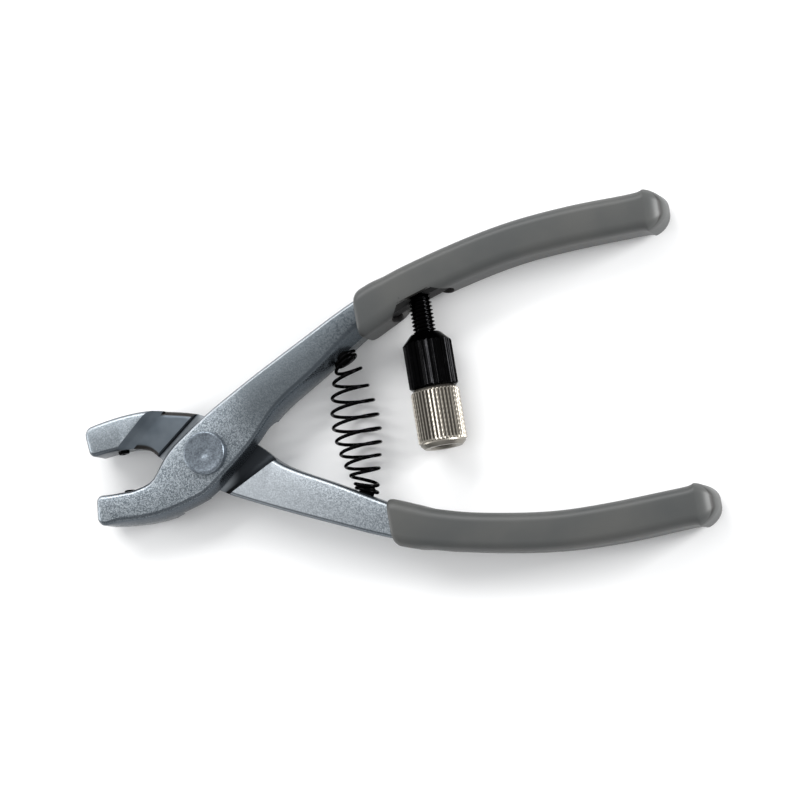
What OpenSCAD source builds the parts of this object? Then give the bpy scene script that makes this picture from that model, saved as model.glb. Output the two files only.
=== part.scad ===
// Circlip pliers with a return spring and an adjustable closing stop.
// They lie on one side: X runs from the jaws to the handles, the pivot stands along Z,
// and Z is zero on the surface under the grips.

/* [Arms] */
// Reach from the pivot to the jaw tips
jaw_reach = 33; // [28:0.5:40]
// Distance of each jaw's middle line from the tool's axis at the tips
jaw_drop = 9.6; // [8.5:0.1:12]
// Reach from the pivot to the end of the bare handle inside its grip
handle_reach = 126; // [110:1:150]
// Distance of each handle's middle line from the tool's axis at its end
handle_rise = 37.8; // [34:0.2:42]
// Width of an arm across the pivot
root_w = 16.4; // [14:0.1:17]
// Thickness of an arm
arm_t = 9; // [8:0.1:10]
// How far the forged edge draws in from the parting line to the face
edge_draw = 1.35; // [0.8:0.05:1.6]
// Corner radius at the outside of the jaw tip
tip_corner = 2.4; // [1.6:0.1:3]
// Corner radius at the gripping side of the jaw tip
bite_corner = 1.4; // [1.4:0.1:2]

/* [Pivot] */
// Radius of the rivet's shank
rivet_r = 4; // [3:0.1:5]
// Radius of the rivet's heads
rivet_head_r = 5.7; // [5:0.1:7]
// Height of the rivet's heads above the arms
rivet_head_h = 2.1; // [1:0.1:2.1]
// Gap between the rivet's shank and the arms' bores
pivot_gap = 0.05; // [0.02:0.01:0.1]
// Gap between the two lapped halves
lap_gap = 0.1; // [0.05:0.01:0.2]
// Distance from the pivot to the lap's wall on the jaw side
lap_jaw = 10.5; // [10.3:0.1:12]
// Angle of that wall to the tool's axis
lap_jaw_angle = 36; // [30:1:38]
// Distance from the pivot to the lap's wall on the handle side
lap_handle = 12.5; // [12:0.1:15]
// Angle of that wall to the tool's axis
lap_handle_angle = 25; // [15:1:26]
// Radius of the cove at the foot of that wall
cove_r = 3.5; // [2:0.1:3.5]
// Distance from the pivot to the outer step of the shallow recess in the jaw's root
recess_jaw = 18.5; // [16:0.1:20]
// Angle of that step to the tool's axis
recess_angle = 39.6; // [30:0.2:45]
// Depth of that recess from the face
recess_h = 2.2; // [1:0.1:3]

/* [Grips] */
// Distance from the pivot to the grips' mouths, which are cut square to the tool's axis
mouth_x = 46.5; // [46:0.1:48]
// Width of a grip, across the flat of the tool
grip_w = 13.2; // [12.8:0.1:14]
// Height of a grip at its middle
grip_h = 9.9; // [9.6:0.1:12]
// Length of the domed end past the handle's end
grip_end = 4.7; // [3.5:0.1:7]
// Corner radius of the grip's section
grip_corner = 3; // [2:0.1:3.5]
// Gap between the grip's inside and the handle
grip_gap = 0.08; // [0.04:0.01:0.15]
// Distance from the pivot to the middle of the slot in the upper grip's inner side, along the axis
slot_x = 62.8; // [61:0.1:64]
// Length of that slot
slot_len = 18; // [17:0.1:20]
// Width of that slot, which opens the grip's sides
slot_w = 13.8; // [13.4:0.1:14.4]
// Depth of that slot past the handle's inner edge
slot_extra = 0.5; // [0.2:0.1:1]

/* [Stop screw] */
// Distance of the stop screw from the pivot, along the tool's axis
stop_x = 62.5; // [60:0.1:66]
// Radius of the screw's thread
screw_r = 3; // [2.5:0.1:3.5]
// Radius of the knurled head
head_r = 6.25; // [5.5:0.05:6.4]
// Length of the knurled head
head_len = 15.5; // [12:0.1:17]
// Height of the head's joint with the lock nut above the tool's axis
head_top = 5.2; // [3:0.1:7]
// Radius of the lock nut
nut_r = 6.3; // [5.5:0.05:6.4]
// Length of the lock nut's knurled part
nut_len = 11.6; // [8:0.1:13]
// Height of the lock nut's cone
nut_cone = 2.6; // [2:0.1:4]
// Number of ribs round the head
head_ribs = 38; // [24:2:44]
// Number of ribs round the lock nut
nut_ribs = 30; // [20:2:36]
// Depth of the ribs
rib_depth = 0.34; // [0.2:0.02:0.5]
// Depth of the open end of the head's bore, below which the screw ends
bore_open = 2.4; // [1:0.1:4]

/* [Return spring] */
// Distance of the spring from the pivot, along the tool's axis
spring_x = 40; // [38:0.1:44]
// Radius of the spring's wire
wire_r = 0.45; // [0.35:0.01:0.6]
// Coil radius at the ends of the spring, to the wire's middle
coil_end_r = 2.9; // [2.9:0.1:4.5]
// Coil radius at the belly of the spring, to the wire's middle
coil_mid_r = 6; // [5:0.05:6.1]
// Number of turns
coil_turns = 11.5; // [9:0.5:13]
// How far the middle coils hang below the middle of the spring
coil_sag = 1.2; // [0:0.1:2]
// Radius of the pegs that the end coils sit on
peg_r = 2; // [1.8:0.05:2.3]
// How far a peg stands out of its arm
peg_out = 2; // [1.6:0.1:3]
// How far a peg is let into its arm
peg_in = 4; // [3:0.1:5]

/* [Jaw pins] */
// Distance of the pins from the jaws' tips, along the tool's axis
pin_inset = 8.7; // [7:0.1:10]
// Radius of the pins
pin_r = 1.5; // [1.2:0.1:2]
// How far a pin stands out of its jaw
pin_out = 0.6; // [0.4:0.1:1]
// How far a pin is let into its jaw
pin_in = 3.6; // [2.5:0.1:4]

/* [Hidden] */

// Finishes
forged = [0.6, 0.63, 0.67];
sleeve = [0.42, 0.43, 0.42];
black = [0.06, 0.06, 0.065];
bright = [0.72, 0.7, 0.66];

// Fineness
round_fn = 64;
span_steps = 2;
corner_steps = 3;
ring_sides = 32;
wire_sides = 8;
turn_steps = 18;

// One overrun serves all cuts
over = 1;
// Gap of a pressed pin in its hole
press_gap = 0.02;
// Gap of the screw in its tapped hole
thread_gap = 0.05;
// Gap between faces that rest on each other
seat_gap = 0.05;

// Height of the tool's middle plane above the surface that it lies on
mid_z = grip_w / 2;

// Middle line of an arm. Jaw side: shares of the jaw's reach and drop, and of the root's width.
jaw_line_shares = [[-1, -0.965, 0.509], [-0.82, -1.005, 0.53], [-0.62, -1.03, 0.571],
    [-0.42, -0.903, 0.689], [-0.194, -0.455, 0.995]];
// Handle side: shares of the handle's reach and rise, and of the root's width.
handle_line_shares = [[0.068, 0.155, 0.906], [0.138, 0.315, 0.72], [0.25, 0.506, 0.645],
    [0.373, 0.714, 0.536], [0.476, 0.837, 0.47], [0.595, 0.928, 0.46], [0.715, 0.988, 0.46],
    [0.834, 1.005, 0.46], [0.953, 0.998, 0.46], [1, 0.996, 0.452]];
// Widths of the jaw side are driven by the root's width, so the tip's width is one of them
tip_w = root_w * jaw_line_shares[0][2];
tip_station_share = 1 - tip_corner / jaw_reach;

// Profile of a forged edge: share of half the thickness, share of the draw
edge_shares = [[-1, 1], [-0.86, 0.42], [-0.62, 0.12], [0.62, 0.12], [0.86, 0.42], [1, 1]];

arm_line = concat(
    [for (s = jaw_line_shares) [s[0] * (s[0] == -1 ? tip_station_share : 1) * jaw_reach,
        s[1] * jaw_drop, s[2] * root_w]],
    [[0, 0, root_w]],
    [for (s = handle_line_shares) [s[0] * handle_reach, s[1] * handle_rise, s[2] * root_w]]);
arm_spans = len(arm_line) - 1;

// Point of a smooth curve through four neighbours
function curve_point(a, b, c, d, t) =
    0.5 * (2 * b + (c - a) * t + (2 * a - 5 * b + 4 * c - d) * t * t + (3 * b - a - 3 * c + d) * t * t * t);
// Slope of that curve
function curve_slope(a, b, c, d, t) =
    0.5 * ((c - a) + 2 * (2 * a - 5 * b + 4 * c - d) * t + 3 * (3 * b - a - 3 * c + d) * t * t);
function line_at(k) = arm_line[max(0, min(arm_spans, k))];
function span_of(u) = max(0, min(arm_spans - 1, floor(u)));
// Point, slope, direction and left-hand normal of the arm's middle line at station u
function arm_point(u) = let (k = span_of(u))
    curve_point(line_at(k - 1), line_at(k), line_at(k + 1), line_at(k + 2), u - k);
function arm_slope(u) = let (k = span_of(u))
    curve_slope(line_at(k - 1), line_at(k), line_at(k + 1), line_at(k + 2), u - k);
function unit(v) = v / norm(v);
function along(u) = let (s = arm_slope(u)) unit([s[0], s[1]]);
function left(u) = let (a = along(u)) [-a[1], a[0]];
function spot(u) = let (p = arm_point(u)) [p[0], p[1]];
function width(u) = arm_point(u)[2];
// Station at which the middle line reaches x, found by halving
function station(x, lo = 0, hi = arm_spans, n = 24) = n == 0 ? (lo + hi) / 2 :
    let (m = (lo + hi) / 2) spot(m)[0] < x ? station(x, m, hi, n - 1) : station(x, lo, m, n - 1);

// One rounded corner at the end of the arm, side is 1 on the left and -1 on the right
function corner(c, out, side, half, reach, r, steps) = [for (i = [0:steps]) let (a = 90 * i / steps)
    c + side * (half - r + r * cos(a)) * side_of(out) + (reach - r + r * sin(a)) * out];
function side_of(out) = [out[1], -out[0]];
function reversed(v) = [for (i = [len(v) - 1:-1:0]) v[i]];

// Outline of an arm, anticlockwise
arm_outline = concat(
    [for (i = [0:arm_spans * span_steps]) let (u = i / span_steps) spot(u) - left(u) * width(u) / 2],
    [for (i = [arm_spans * span_steps:-1:0]) let (u = i / span_steps) spot(u) + left(u) * width(u) / 2],
    corner(spot(0), -along(0), 1, width(0) / 2, tip_corner, bite_corner, corner_steps),
    reversed(corner(spot(0), -along(0), -1, width(0) / 2, tip_corner, tip_corner, corner_steps)));

// Inward normal at each point of a closed outline
function inward(p) = [for (i = [0:len(p) - 1]) let (
    n = len(p), a = p[(i + n - 1) % n], b = p[(i + 1) % n], t = unit(b - a)) [-t[1], t[0]]];
// Outline without points that repeat
function distinct(p) = [for (i = [0:len(p) - 1]) if (norm(p[i] - p[(i + 1) % len(p)]) > wire_r / 10) p[i]];

// Solid with a forged edge: the outline at each level is drawn in by that level's share.
// Its two flat faces are strips between matching points, counted both ways from the handle's end.
module forged_prism(outline, thickness, draw) {
    p = distinct(outline);
    q = inward(p);
    n = len(p);
    m = len(edge_shares);
    far = arm_spans * span_steps;
    points = [for (e = edge_shares) for (i = [0:n - 1])
        let (s = p[i] + q[i] * e[1] * draw) [s[0], s[1], e[0] * thickness / 2]];
    sides = [for (j = [0:m - 2]) for (i = [0:n - 1]) let (k = (i + 1) % n)
        [j * n + i, (j + 1) * n + i, (j + 1) * n + k, j * n + k]];
    strips = [for (k = [0:ceil(n / 2) - 2]) let (
        a = (far - k + n) % n, b = (far - k - 1 + n) % n, c = (far + k + 2) % n, d = (far + k + 1) % n)
        b == c ? [a, b, d] : [a, b, c, d]];
    under = [for (f = strips) reversed(f)];
    upper = [for (f = strips) [for (i = f) (m - 1) * n + i]];
    polyhedron(points, concat(sides, upper, under), convexity = 6);
}

// Room for the other arm, which crosses behind this one. A wall stands at a distance from the
// pivot, at an angle to the tool's axis, on the jaw side (-1) or the handle side (1).
lap_reach = 2 * root_w;
function wall_normal(a, way) = [sin(a) * way, cos(a) * way];
function wall(d, a, way) = let (n = wall_normal(a, way), t = [n[1], -n[0]])
    [d * n + lap_reach * t, d * n - lap_reach * t];
module slab(depth, near, far) {
    mirror([0, 0, 1]) translate([0, 0, depth]) linear_extrude(arm_t / 2 + over) polygon(concat(near, far));
}

module lap_cut() {
    floor_z = -lap_gap / 2;
    jaw_wall = wall(lap_jaw, lap_jaw_angle, -1);
    slab(floor_z, jaw_wall, wall(lap_handle - cove_r, lap_handle_angle, 1));
    slab(floor_z + cove_r, jaw_wall, wall(lap_handle, lap_handle_angle, 1));
    n = wall_normal(lap_handle_angle, 1) * (lap_handle - cove_r);
    translate([n[0], n[1], -floor_z - cove_r]) rotate([0, 0, 90 - lap_handle_angle]) rotate([90, 0, 0])
        cylinder(r = cove_r, h = 2 * lap_reach, center = true, $fn = round_fn);
    slab(arm_t / 2 - recess_h, wall(recess_jaw, recess_angle, -1), wall(0, recess_angle, 1));
}

// Places on the arms
// A seat on the side of the arm: its place and the way that it faces, side is 1 on the left
function seat_spot(u, side) = spot(u) + side * left(u) * width(u) / 2;
function seat_station(x, side, lo = 0, hi = arm_spans, n = 24) = n == 0 ? (lo + hi) / 2 :
    let (m = (lo + hi) / 2) seat_spot(m, side)[0] < x ? seat_station(x, side, m, hi, n - 1)
        : seat_station(x, side, lo, m, n - 1);
peg_u = seat_station(spring_x, -1);
pin_u = seat_station(pin_inset - jaw_reach, 1);
function facing(u, side) = let (d = side * left(u)) atan2(d[1], d[0]);

// A round shape that stands on an arm's side and points away from it
module on_side(u, side) {
    p = seat_spot(u, side);
    translate([p[0], p[1], 0]) rotate(facing(u, side)) rotate([0, 90, 0]) children();
}

screw_u = station(stop_x);
// The screw ends inside the handle, a share of its width above the middle line
screw_share = 0.2;
screw_top = spot(screw_u)[1] + screw_share * width(screw_u);

// One forging serves as both arms; only the tapped hole differs
module arm(tapped) {
    color(forged) difference() {
        forged_prism(arm_outline, arm_t, edge_draw);
        lap_cut();
        cylinder(r = rivet_r + pivot_gap, h = arm_t + 2 * over, center = true, $fn = round_fn);
        on_side(peg_u, -1) translate([0, 0, -peg_in]) cylinder(r = peg_r + press_gap, h = peg_in + over, $fn = round_fn);
        on_side(pin_u, 1) translate([0, 0, -pin_in]) cylinder(r = pin_r + press_gap, h = pin_in + over, $fn = round_fn);
        if (tapped) translate([stop_x, screw_top + thread_gap, 0]) rotate([90, 0, 0])
            cylinder(r = screw_r + thread_gap, h = root_w, $fn = round_fn);
    }
}

module lifted() {
    translate([0, 0, mid_z]) children();
}

// The rear arm is the front one turned over about the tool's axis
module turned_over() {
    translate([0, 0, mid_z]) rotate([180, 0, 0]) children();
}

module front_arm() {
    lifted() arm(true);
}

module rear_arm() {
    turned_over() arm(false);
}

// Rivet: shank, front head with a struck dimple, and rear head
dimple_r = 1.6;
dimple_h = 0.5;
head_round = 0.5;
module pivot_rivet() {
    half = arm_t / 2;
    seat = half + seat_gap;
    top = half + rivet_head_h;
    color(forged) lifted() rotate_extrude($fn = round_fn) polygon([
        [0, -top], [rivet_head_r - head_round, -top], [rivet_head_r, head_round - top],
        [rivet_head_r, -seat], [rivet_r, -seat], [rivet_r, seat], [rivet_head_r, seat],
        [rivet_head_r, top - head_round], [rivet_head_r - head_round, top],
        [dimple_r, top], [0, top - dimple_h]]);
}

// Grips. Each ring is a rounded rectangle across the handle.
// Shares of the grip's height along it, from the mouth to the dome: place, height
grip_height_shares = [[0, 1.05], [0.012, 1.18], [0.06, 1.14], [0.14, 1.04], [0.26, 1], [0.42, 1],
    [0.7, 1.02], [0.86, 1], [0.92, 1.01], [0.96, 1.05], [0.985, 1.1], [1, 1.1]];
mouth_u = station(mouth_x);
mouth_side = 0.96;
// Dome: shares of its length and of the section at its foot
dome_shares = [[0.2, 0.95], [0.5, 0.8], [0.72, 0.64], [0.88, 0.48], [0.97, 0.33], [1, 0.18]];
grip_rings = 30;

function blend_in(table, t, k = 0) = k >= len(table) - 2 || t <= table[k + 1][0] ?
    let (a = table[k], b = table[k + 1], f = max(0, min(1, (t - a[0]) / (b[0] - a[0]))))
        a[1] + (b[1] - a[1]) * f * f * (3 - 2 * f)
    : blend_in(table, t, k + 1);

// Rounded rectangle as a ring of points in the plane across the handle, which can lean along it
function ring(c, n, w, h, r, lean = 0) = [for (i = [0:ring_sides - 1]) let (
    a = 360 * (i + 0.5) / ring_sides, cs = cos(a), sn = sin(a),
    x = sign(cs) * (h / 2 - r) + r * cs, z = sign(sn) * (w / 2 - r) + r * sn)
    [c[0] + (n[0] + n[1] * lean) * x, c[1] + (n[1] - n[0] * lean) * x, z]];

// Skin through a list of rings, closed at both ends
module skin(rings) {
    m = len(rings);
    points = [for (r = rings) for (p = r) p];
    sides = [for (j = [0:m - 2]) for (i = [0:ring_sides - 1]) let (k = (i + 1) % ring_sides)
        [j * ring_sides + i, j * ring_sides + k, (j + 1) * ring_sides + k, (j + 1) * ring_sides + i]];
    caps = [[for (i = [ring_sides - 1:-1:0]) i], [for (i = [0:ring_sides - 1]) (m - 1) * ring_sides + i]];
    polyhedron(points, concat(sides, caps), convexity = 6);
}

// Share of the mouth's lean that is left at a share of the grip's length
lean_reach = 0.13;
mouth_lean = along(mouth_u)[1] / along(mouth_u)[0];
function lean_left(t) = max(0, 1 - t / lean_reach);
// Inside of the grip, from its closed end to the mouth, where it is a little wider
function inner_ring(u, t, shift) = ring(spot(u) + along(u) * shift, left(u), arm_t + 2 * grip_gap,
    width(u) + grip_gap * (2 + 4 * lean_left(t)), grip_gap + edge_draw / 2, mouth_lean * lean_left(t));
function outer_ring(u, t) = let (edge = t == 0 ? mouth_side : 1) ring(spot(u), left(u), grip_w * edge,
    grip_h * blend_in(grip_height_shares, t), grip_corner, mouth_lean * lean_left(t));

slot_u = seat_station(slot_x, -1);
module grip(slotted) {
    span = arm_spans - mouth_u;
    dome = [for (d = dome_shares) let (u = arm_spans)
        ring(spot(u) + along(u) * d[0] * grip_end, left(u), grip_w * d[1],
            grip_h * blend_in(grip_height_shares, 1) * d[1], grip_corner * d[1])];
    rings = concat(
        [for (i = [0:grip_rings]) let (t = 1 - i / grip_rings)
            inner_ring(mouth_u + span * t, t, i == 0 ? grip_gap : 0)],
        [for (i = [0:grip_rings]) let (t = i / grip_rings) outer_ring(mouth_u + span * t, t)],
        dome);
    color(sleeve) difference() {
        skin(rings);
        if (slotted) on_side(slot_u, -1) translate([0, 0, -slot_extra]) linear_extrude(grip_h) slot_shape();
    }
}

// Slot with round ends: long along the handle, across it the width
module slot_shape() {
    r = slot_w / 2;
    rotate(90) {
        square([slot_len - slot_w, slot_w], center = true);
        for (s = [-1, 1]) translate([s * (slot_len - slot_w) / 2, 0]) circle(r = r, $fn = round_fn);
    }
}

module upper_grip() {
    lifted() grip(true);
}

// The stop lands on the lower grip, which has no slot
module lower_grip() {
    turned_over() grip(false);
}

// Ribbed outline of a knurled part
function ribs(r, n, depth) = [for (i = [0:2 * n - 1]) let (a = 180 * i / n, q = i % 2 == 0 ? r : r - depth)
    [q * cos(a), q * sin(a)]];

// Things on the screw's axis are drawn upright and laid along -Y
module on_screw(y) {
    translate([stop_x, y, mid_z]) rotate([90, 0, 0]) children();
}

head_chamfer = 1.1;
end_chamfer = 1.2;

module stop_screw() {
    len = screw_top - head_top + head_len - bore_open;
    tip = screw_r / 4;
    color(black) on_screw(screw_top) rotate_extrude($fn = round_fn) polygon([[0, 0], [screw_r - tip, 0],
        [screw_r, tip], [screw_r, len - tip], [screw_r - tip, len], [0, len]]);
}

// Ribs stand on a round core that runs out past them at both ends
rib_root = 0.05;
module knurled(r, n, total, top_r, top_len, foot_r, foot_len) {
    core = r - rib_depth - rib_root;
    translate([0, 0, top_len + rib_root]) linear_extrude(total - top_len - foot_len - 2 * rib_root)
        polygon(ribs(r, n, rib_depth));
    rotate_extrude($fn = round_fn) polygon([[0, 0], [top_r, 0], [core, top_len], [core, total - foot_len],
        [foot_r, total], [0, total]]);
}

module screw_bore(total) {
    translate([0, 0, -over]) cylinder(r = screw_r + thread_gap, h = total + 2 * over, $fn = round_fn);
}

module stop_head() {
    color(bright) on_screw(head_top - seat_gap) difference() {
        knurled(head_r, head_ribs, head_len - seat_gap, head_r - head_chamfer, head_chamfer,
            head_r - end_chamfer, end_chamfer);
        screw_bore(head_len);
    }
}

nut_foot = 0.5;
nut_neck_r = 3.7;
module lock_nut() {
    total = nut_len + nut_cone;
    color(black) on_screw(head_top + total) difference() {
        knurled(nut_r, nut_ribs, total, nut_neck_r, nut_cone, nut_r - nut_foot, nut_foot);
        screw_bore(total);
    }
}

// Pegs and pins
module side_pin(u, side, r, inside, outside, chamfer) {
    color(black) on_side(u, side) translate([0, 0, -inside]) rotate_extrude($fn = round_fn) polygon([[0, 0],
        [r, 0], [r, inside + outside - chamfer], [r - chamfer, inside + outside], [0, inside + outside]]);
}

module spring_peg() {
    side_pin(peg_u, -1, peg_r, peg_in - press_gap, peg_out, peg_r / 4);
}

module jaw_pin() {
    side_pin(pin_u, 1, pin_r, pin_in - press_gap, pin_out, pin_r / 5);
}

module upper_spring_peg() {
    lifted() spring_peg();
}

module lower_spring_peg() {
    turned_over() spring_peg();
}

module lower_jaw_pin() {
    lifted() jaw_pin();
}

module upper_jaw_pin() {
    turned_over() jaw_pin();
}

// Return spring: a barrel whose end coils lie flat on the arms round the pegs
seat = seat_spot(peg_u, -1);
seat_tilt = facing(peg_u, -1) + 90;
lift = wire_r + seat_gap;
coil_top = seat + lift * [sin(seat_tilt), -cos(seat_tilt)];
// The end turns lie close together, then the pitch opens out between two counts of turns
closed_turns = 0.9;
opened_turns = 1.6;
closed_pitch = 2 * wire_r + 2 * seat_gap;
half_turns = coil_turns / 2;
opening = (coil_top[1] - closed_pitch * half_turns) / (half_turns - (closed_turns + opened_turns) / 2);
// Height below the end of the spring after a count of turns, up to half of them
function sunk(n) = closed_pitch * n + (n < closed_turns ? 0 : n < opened_turns ?
    opening * pow(n - closed_turns, 2) / (2 * (opened_turns - closed_turns))
    : opening * (n - (closed_turns + opened_turns) / 2));
function even_y(n) = n < half_turns ? coil_top[1] - sunk(n) : sunk(coil_turns - n) - coil_top[1];
function coil_y(n) = let (y = even_y(n)) y - coil_sag * pow(1 - pow(y / coil_top[1], 2), 2);
function coil_r(n) = coil_end_r
    + (coil_mid_r - coil_end_r) * pow(max(0, cos(90 * coil_y(n) / coil_top[1])), 1.4);
// The lean of the end coils fades over the next two turns
function lean(n) = let (f = max(0, min(1, (n - closed_turns) / 2))) 1 - f * f * (3 - 2 * f);
function coil_point(n) = let (
    a = 360 * n, r = coil_r(n), tilt = seat_tilt * (lean(n) - lean(coil_turns - n)))
    [coil_top[0] + r * cos(a) * cos(tilt), coil_y(n) + r * cos(a) * sin(tilt), r * sin(a)];

module return_spring() {
    n = round(coil_turns * turn_steps);
    mids = [for (i = [0:n]) coil_point(coil_turns * i / n)];
    rings = [for (i = [0:n]) let (
        a = mids[max(0, i - 1)], b = mids[min(n, i + 1)], t = unit(b - a),
        side = unit(cross(t, [0, 1, 0])), up = cross(side, t))
        [for (k = [0:wire_sides - 1]) let (q = 360 * k / wire_sides)
            mids[i] + wire_r * (side * cos(q) + up * sin(q))]];
    points = [for (r = rings) for (p = r) p];
    sides = [for (j = [0:n - 1]) for (i = [0:wire_sides - 1]) let (k = (i + 1) % wire_sides)
        [j * wire_sides + i, (j + 1) * wire_sides + i, (j + 1) * wire_sides + k, j * wire_sides + k]];
    caps = [[for (i = [0:wire_sides - 1]) i], [for (i = [wire_sides - 1:-1:0]) n * wire_sides + i]];
    color(black) lifted() polyhedron(points, concat(sides, caps), convexity = 10);
}

front_arm();
rear_arm();
pivot_rivet();
upper_grip();
lower_grip();
return_spring();
upper_spring_peg();
lower_spring_peg();
stop_screw();
stop_head();
lock_nut();
lower_jaw_pin();
upper_jaw_pin();
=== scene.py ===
"""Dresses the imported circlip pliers: forged arms, moulded grips, spring, stop screw and its nuts.

Every piece is modelled in millimetres about the tool's own middle plane, then laid in the
part's frame in metres. The tool lies on one side, with the pivot upright.
"""

from __future__ import annotations

import logging
import math
from dataclasses import dataclass, field
from enum import Enum
from typing import Callable, Sequence

import bmesh
import bpy
from mathutils import Matrix, Vector

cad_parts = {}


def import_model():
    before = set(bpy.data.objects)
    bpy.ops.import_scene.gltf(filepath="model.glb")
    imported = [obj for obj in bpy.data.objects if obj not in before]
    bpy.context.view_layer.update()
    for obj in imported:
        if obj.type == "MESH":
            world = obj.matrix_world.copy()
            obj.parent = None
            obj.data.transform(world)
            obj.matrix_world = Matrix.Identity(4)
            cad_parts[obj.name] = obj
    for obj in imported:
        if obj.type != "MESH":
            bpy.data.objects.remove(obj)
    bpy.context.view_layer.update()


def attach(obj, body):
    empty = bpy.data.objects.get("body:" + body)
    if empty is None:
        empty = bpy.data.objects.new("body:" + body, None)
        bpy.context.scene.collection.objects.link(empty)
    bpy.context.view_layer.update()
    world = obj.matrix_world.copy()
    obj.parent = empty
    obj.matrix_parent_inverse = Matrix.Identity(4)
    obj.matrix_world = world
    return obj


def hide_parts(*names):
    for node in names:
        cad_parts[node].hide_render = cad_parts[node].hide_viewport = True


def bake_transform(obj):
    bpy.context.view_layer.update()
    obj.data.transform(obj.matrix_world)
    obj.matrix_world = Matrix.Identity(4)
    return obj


log = logging.getLogger("pliers")

MM = 0.001
MIDDLE_Z = 6.6


class Half(Enum):
    """The rigid halves of the tool and the two nuts, by the names of their bodies."""

    REAR = "rear_half"
    FRONT = "front_half"
    LOCK_NUT = "lock_nut"
    STOP_HEAD = "stop_head"


class Slot(Enum):
    """Material slots of the record."""

    FORGED = "forged_steel"
    RIVET = "rivet_steel"
    SLEEVE = "grip_sleeve"
    BLACK = "black_steel"
    PLATED = "plated_steel"


class Pick(Enum):
    """What an edit-mode selection is made of."""

    VERTS = "VERT"
    EDGES = "EDGE"
    FACES = "FACE"


# Shader sockets that are reckoned with


class Wire:
    """A shader value, or a plain number, that adds Math nodes as it is reckoned with."""

    def __init__(self, graph: "Graph", source: object) -> None:
        """Keeps the graph and the socket or number."""
        self.graph = graph
        self.source = source

    def _math(self, operation: str, *others: object) -> "Wire":
        """Adds one Math node.

        Args:
            operation: The node's operation.
            others: The values after this one.

        Returns:
            The node's result.
        """
        return self.graph.maths(operation, self, *others)

    def __add__(self, other: object) -> "Wire":
        """Sum."""
        return self._math("ADD", other)

    def __radd__(self, other: object) -> "Wire":
        """Sum, the other way round."""
        return self._math("ADD", other)

    def __sub__(self, other: object) -> "Wire":
        """Difference."""
        return self._math("SUBTRACT", other)

    def __rsub__(self, other: object) -> "Wire":
        """Difference, the other way round."""
        return self.graph.maths("SUBTRACT", other, self)

    def __mul__(self, other: object) -> "Wire":
        """Product."""
        return self._math("MULTIPLY", other)

    def __rmul__(self, other: object) -> "Wire":
        """Product, the other way round."""
        return self._math("MULTIPLY", other)

    def __truediv__(self, other: object) -> "Wire":
        """Quotient."""
        return self._math("DIVIDE", other)

    def __abs__(self) -> "Wire":
        """Size without sign."""
        return self._math("ABSOLUTE")

    def sine(self) -> "Wire":
        """Sine of an angle in radians."""
        return self._math("SINE")

    def ramp(self, low: float, high: float) -> "Wire":
        """Smooth rise from 0 at low to 1 at high.

        Args:
            low: Value that gives 0.
            high: Value that gives 1.

        Returns:
            The eased value.
        """
        node = self.graph.node(
            "ShaderNodeMapRange",
            {"interpolation_type": "SMOOTHSTEP"},
            {"Value": self, "From Min": low, "From Max": high},
        )
        return Wire(self.graph, node.outputs["Result"])

    def mix(self, low: object, high: object) -> "Wire":
        """Number between two others, by this one as the share.

        Args:
            low: Value at 0.
            high: Value at 1.

        Returns:
            The mixed number.
        """
        node = self.graph.node(
            "ShaderNodeMapRange",
            {"interpolation_type": "LINEAR"},
            {"Value": self, "To Min": low, "To Max": high},
        )
        return Wire(self.graph, node.outputs["Result"])


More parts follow.
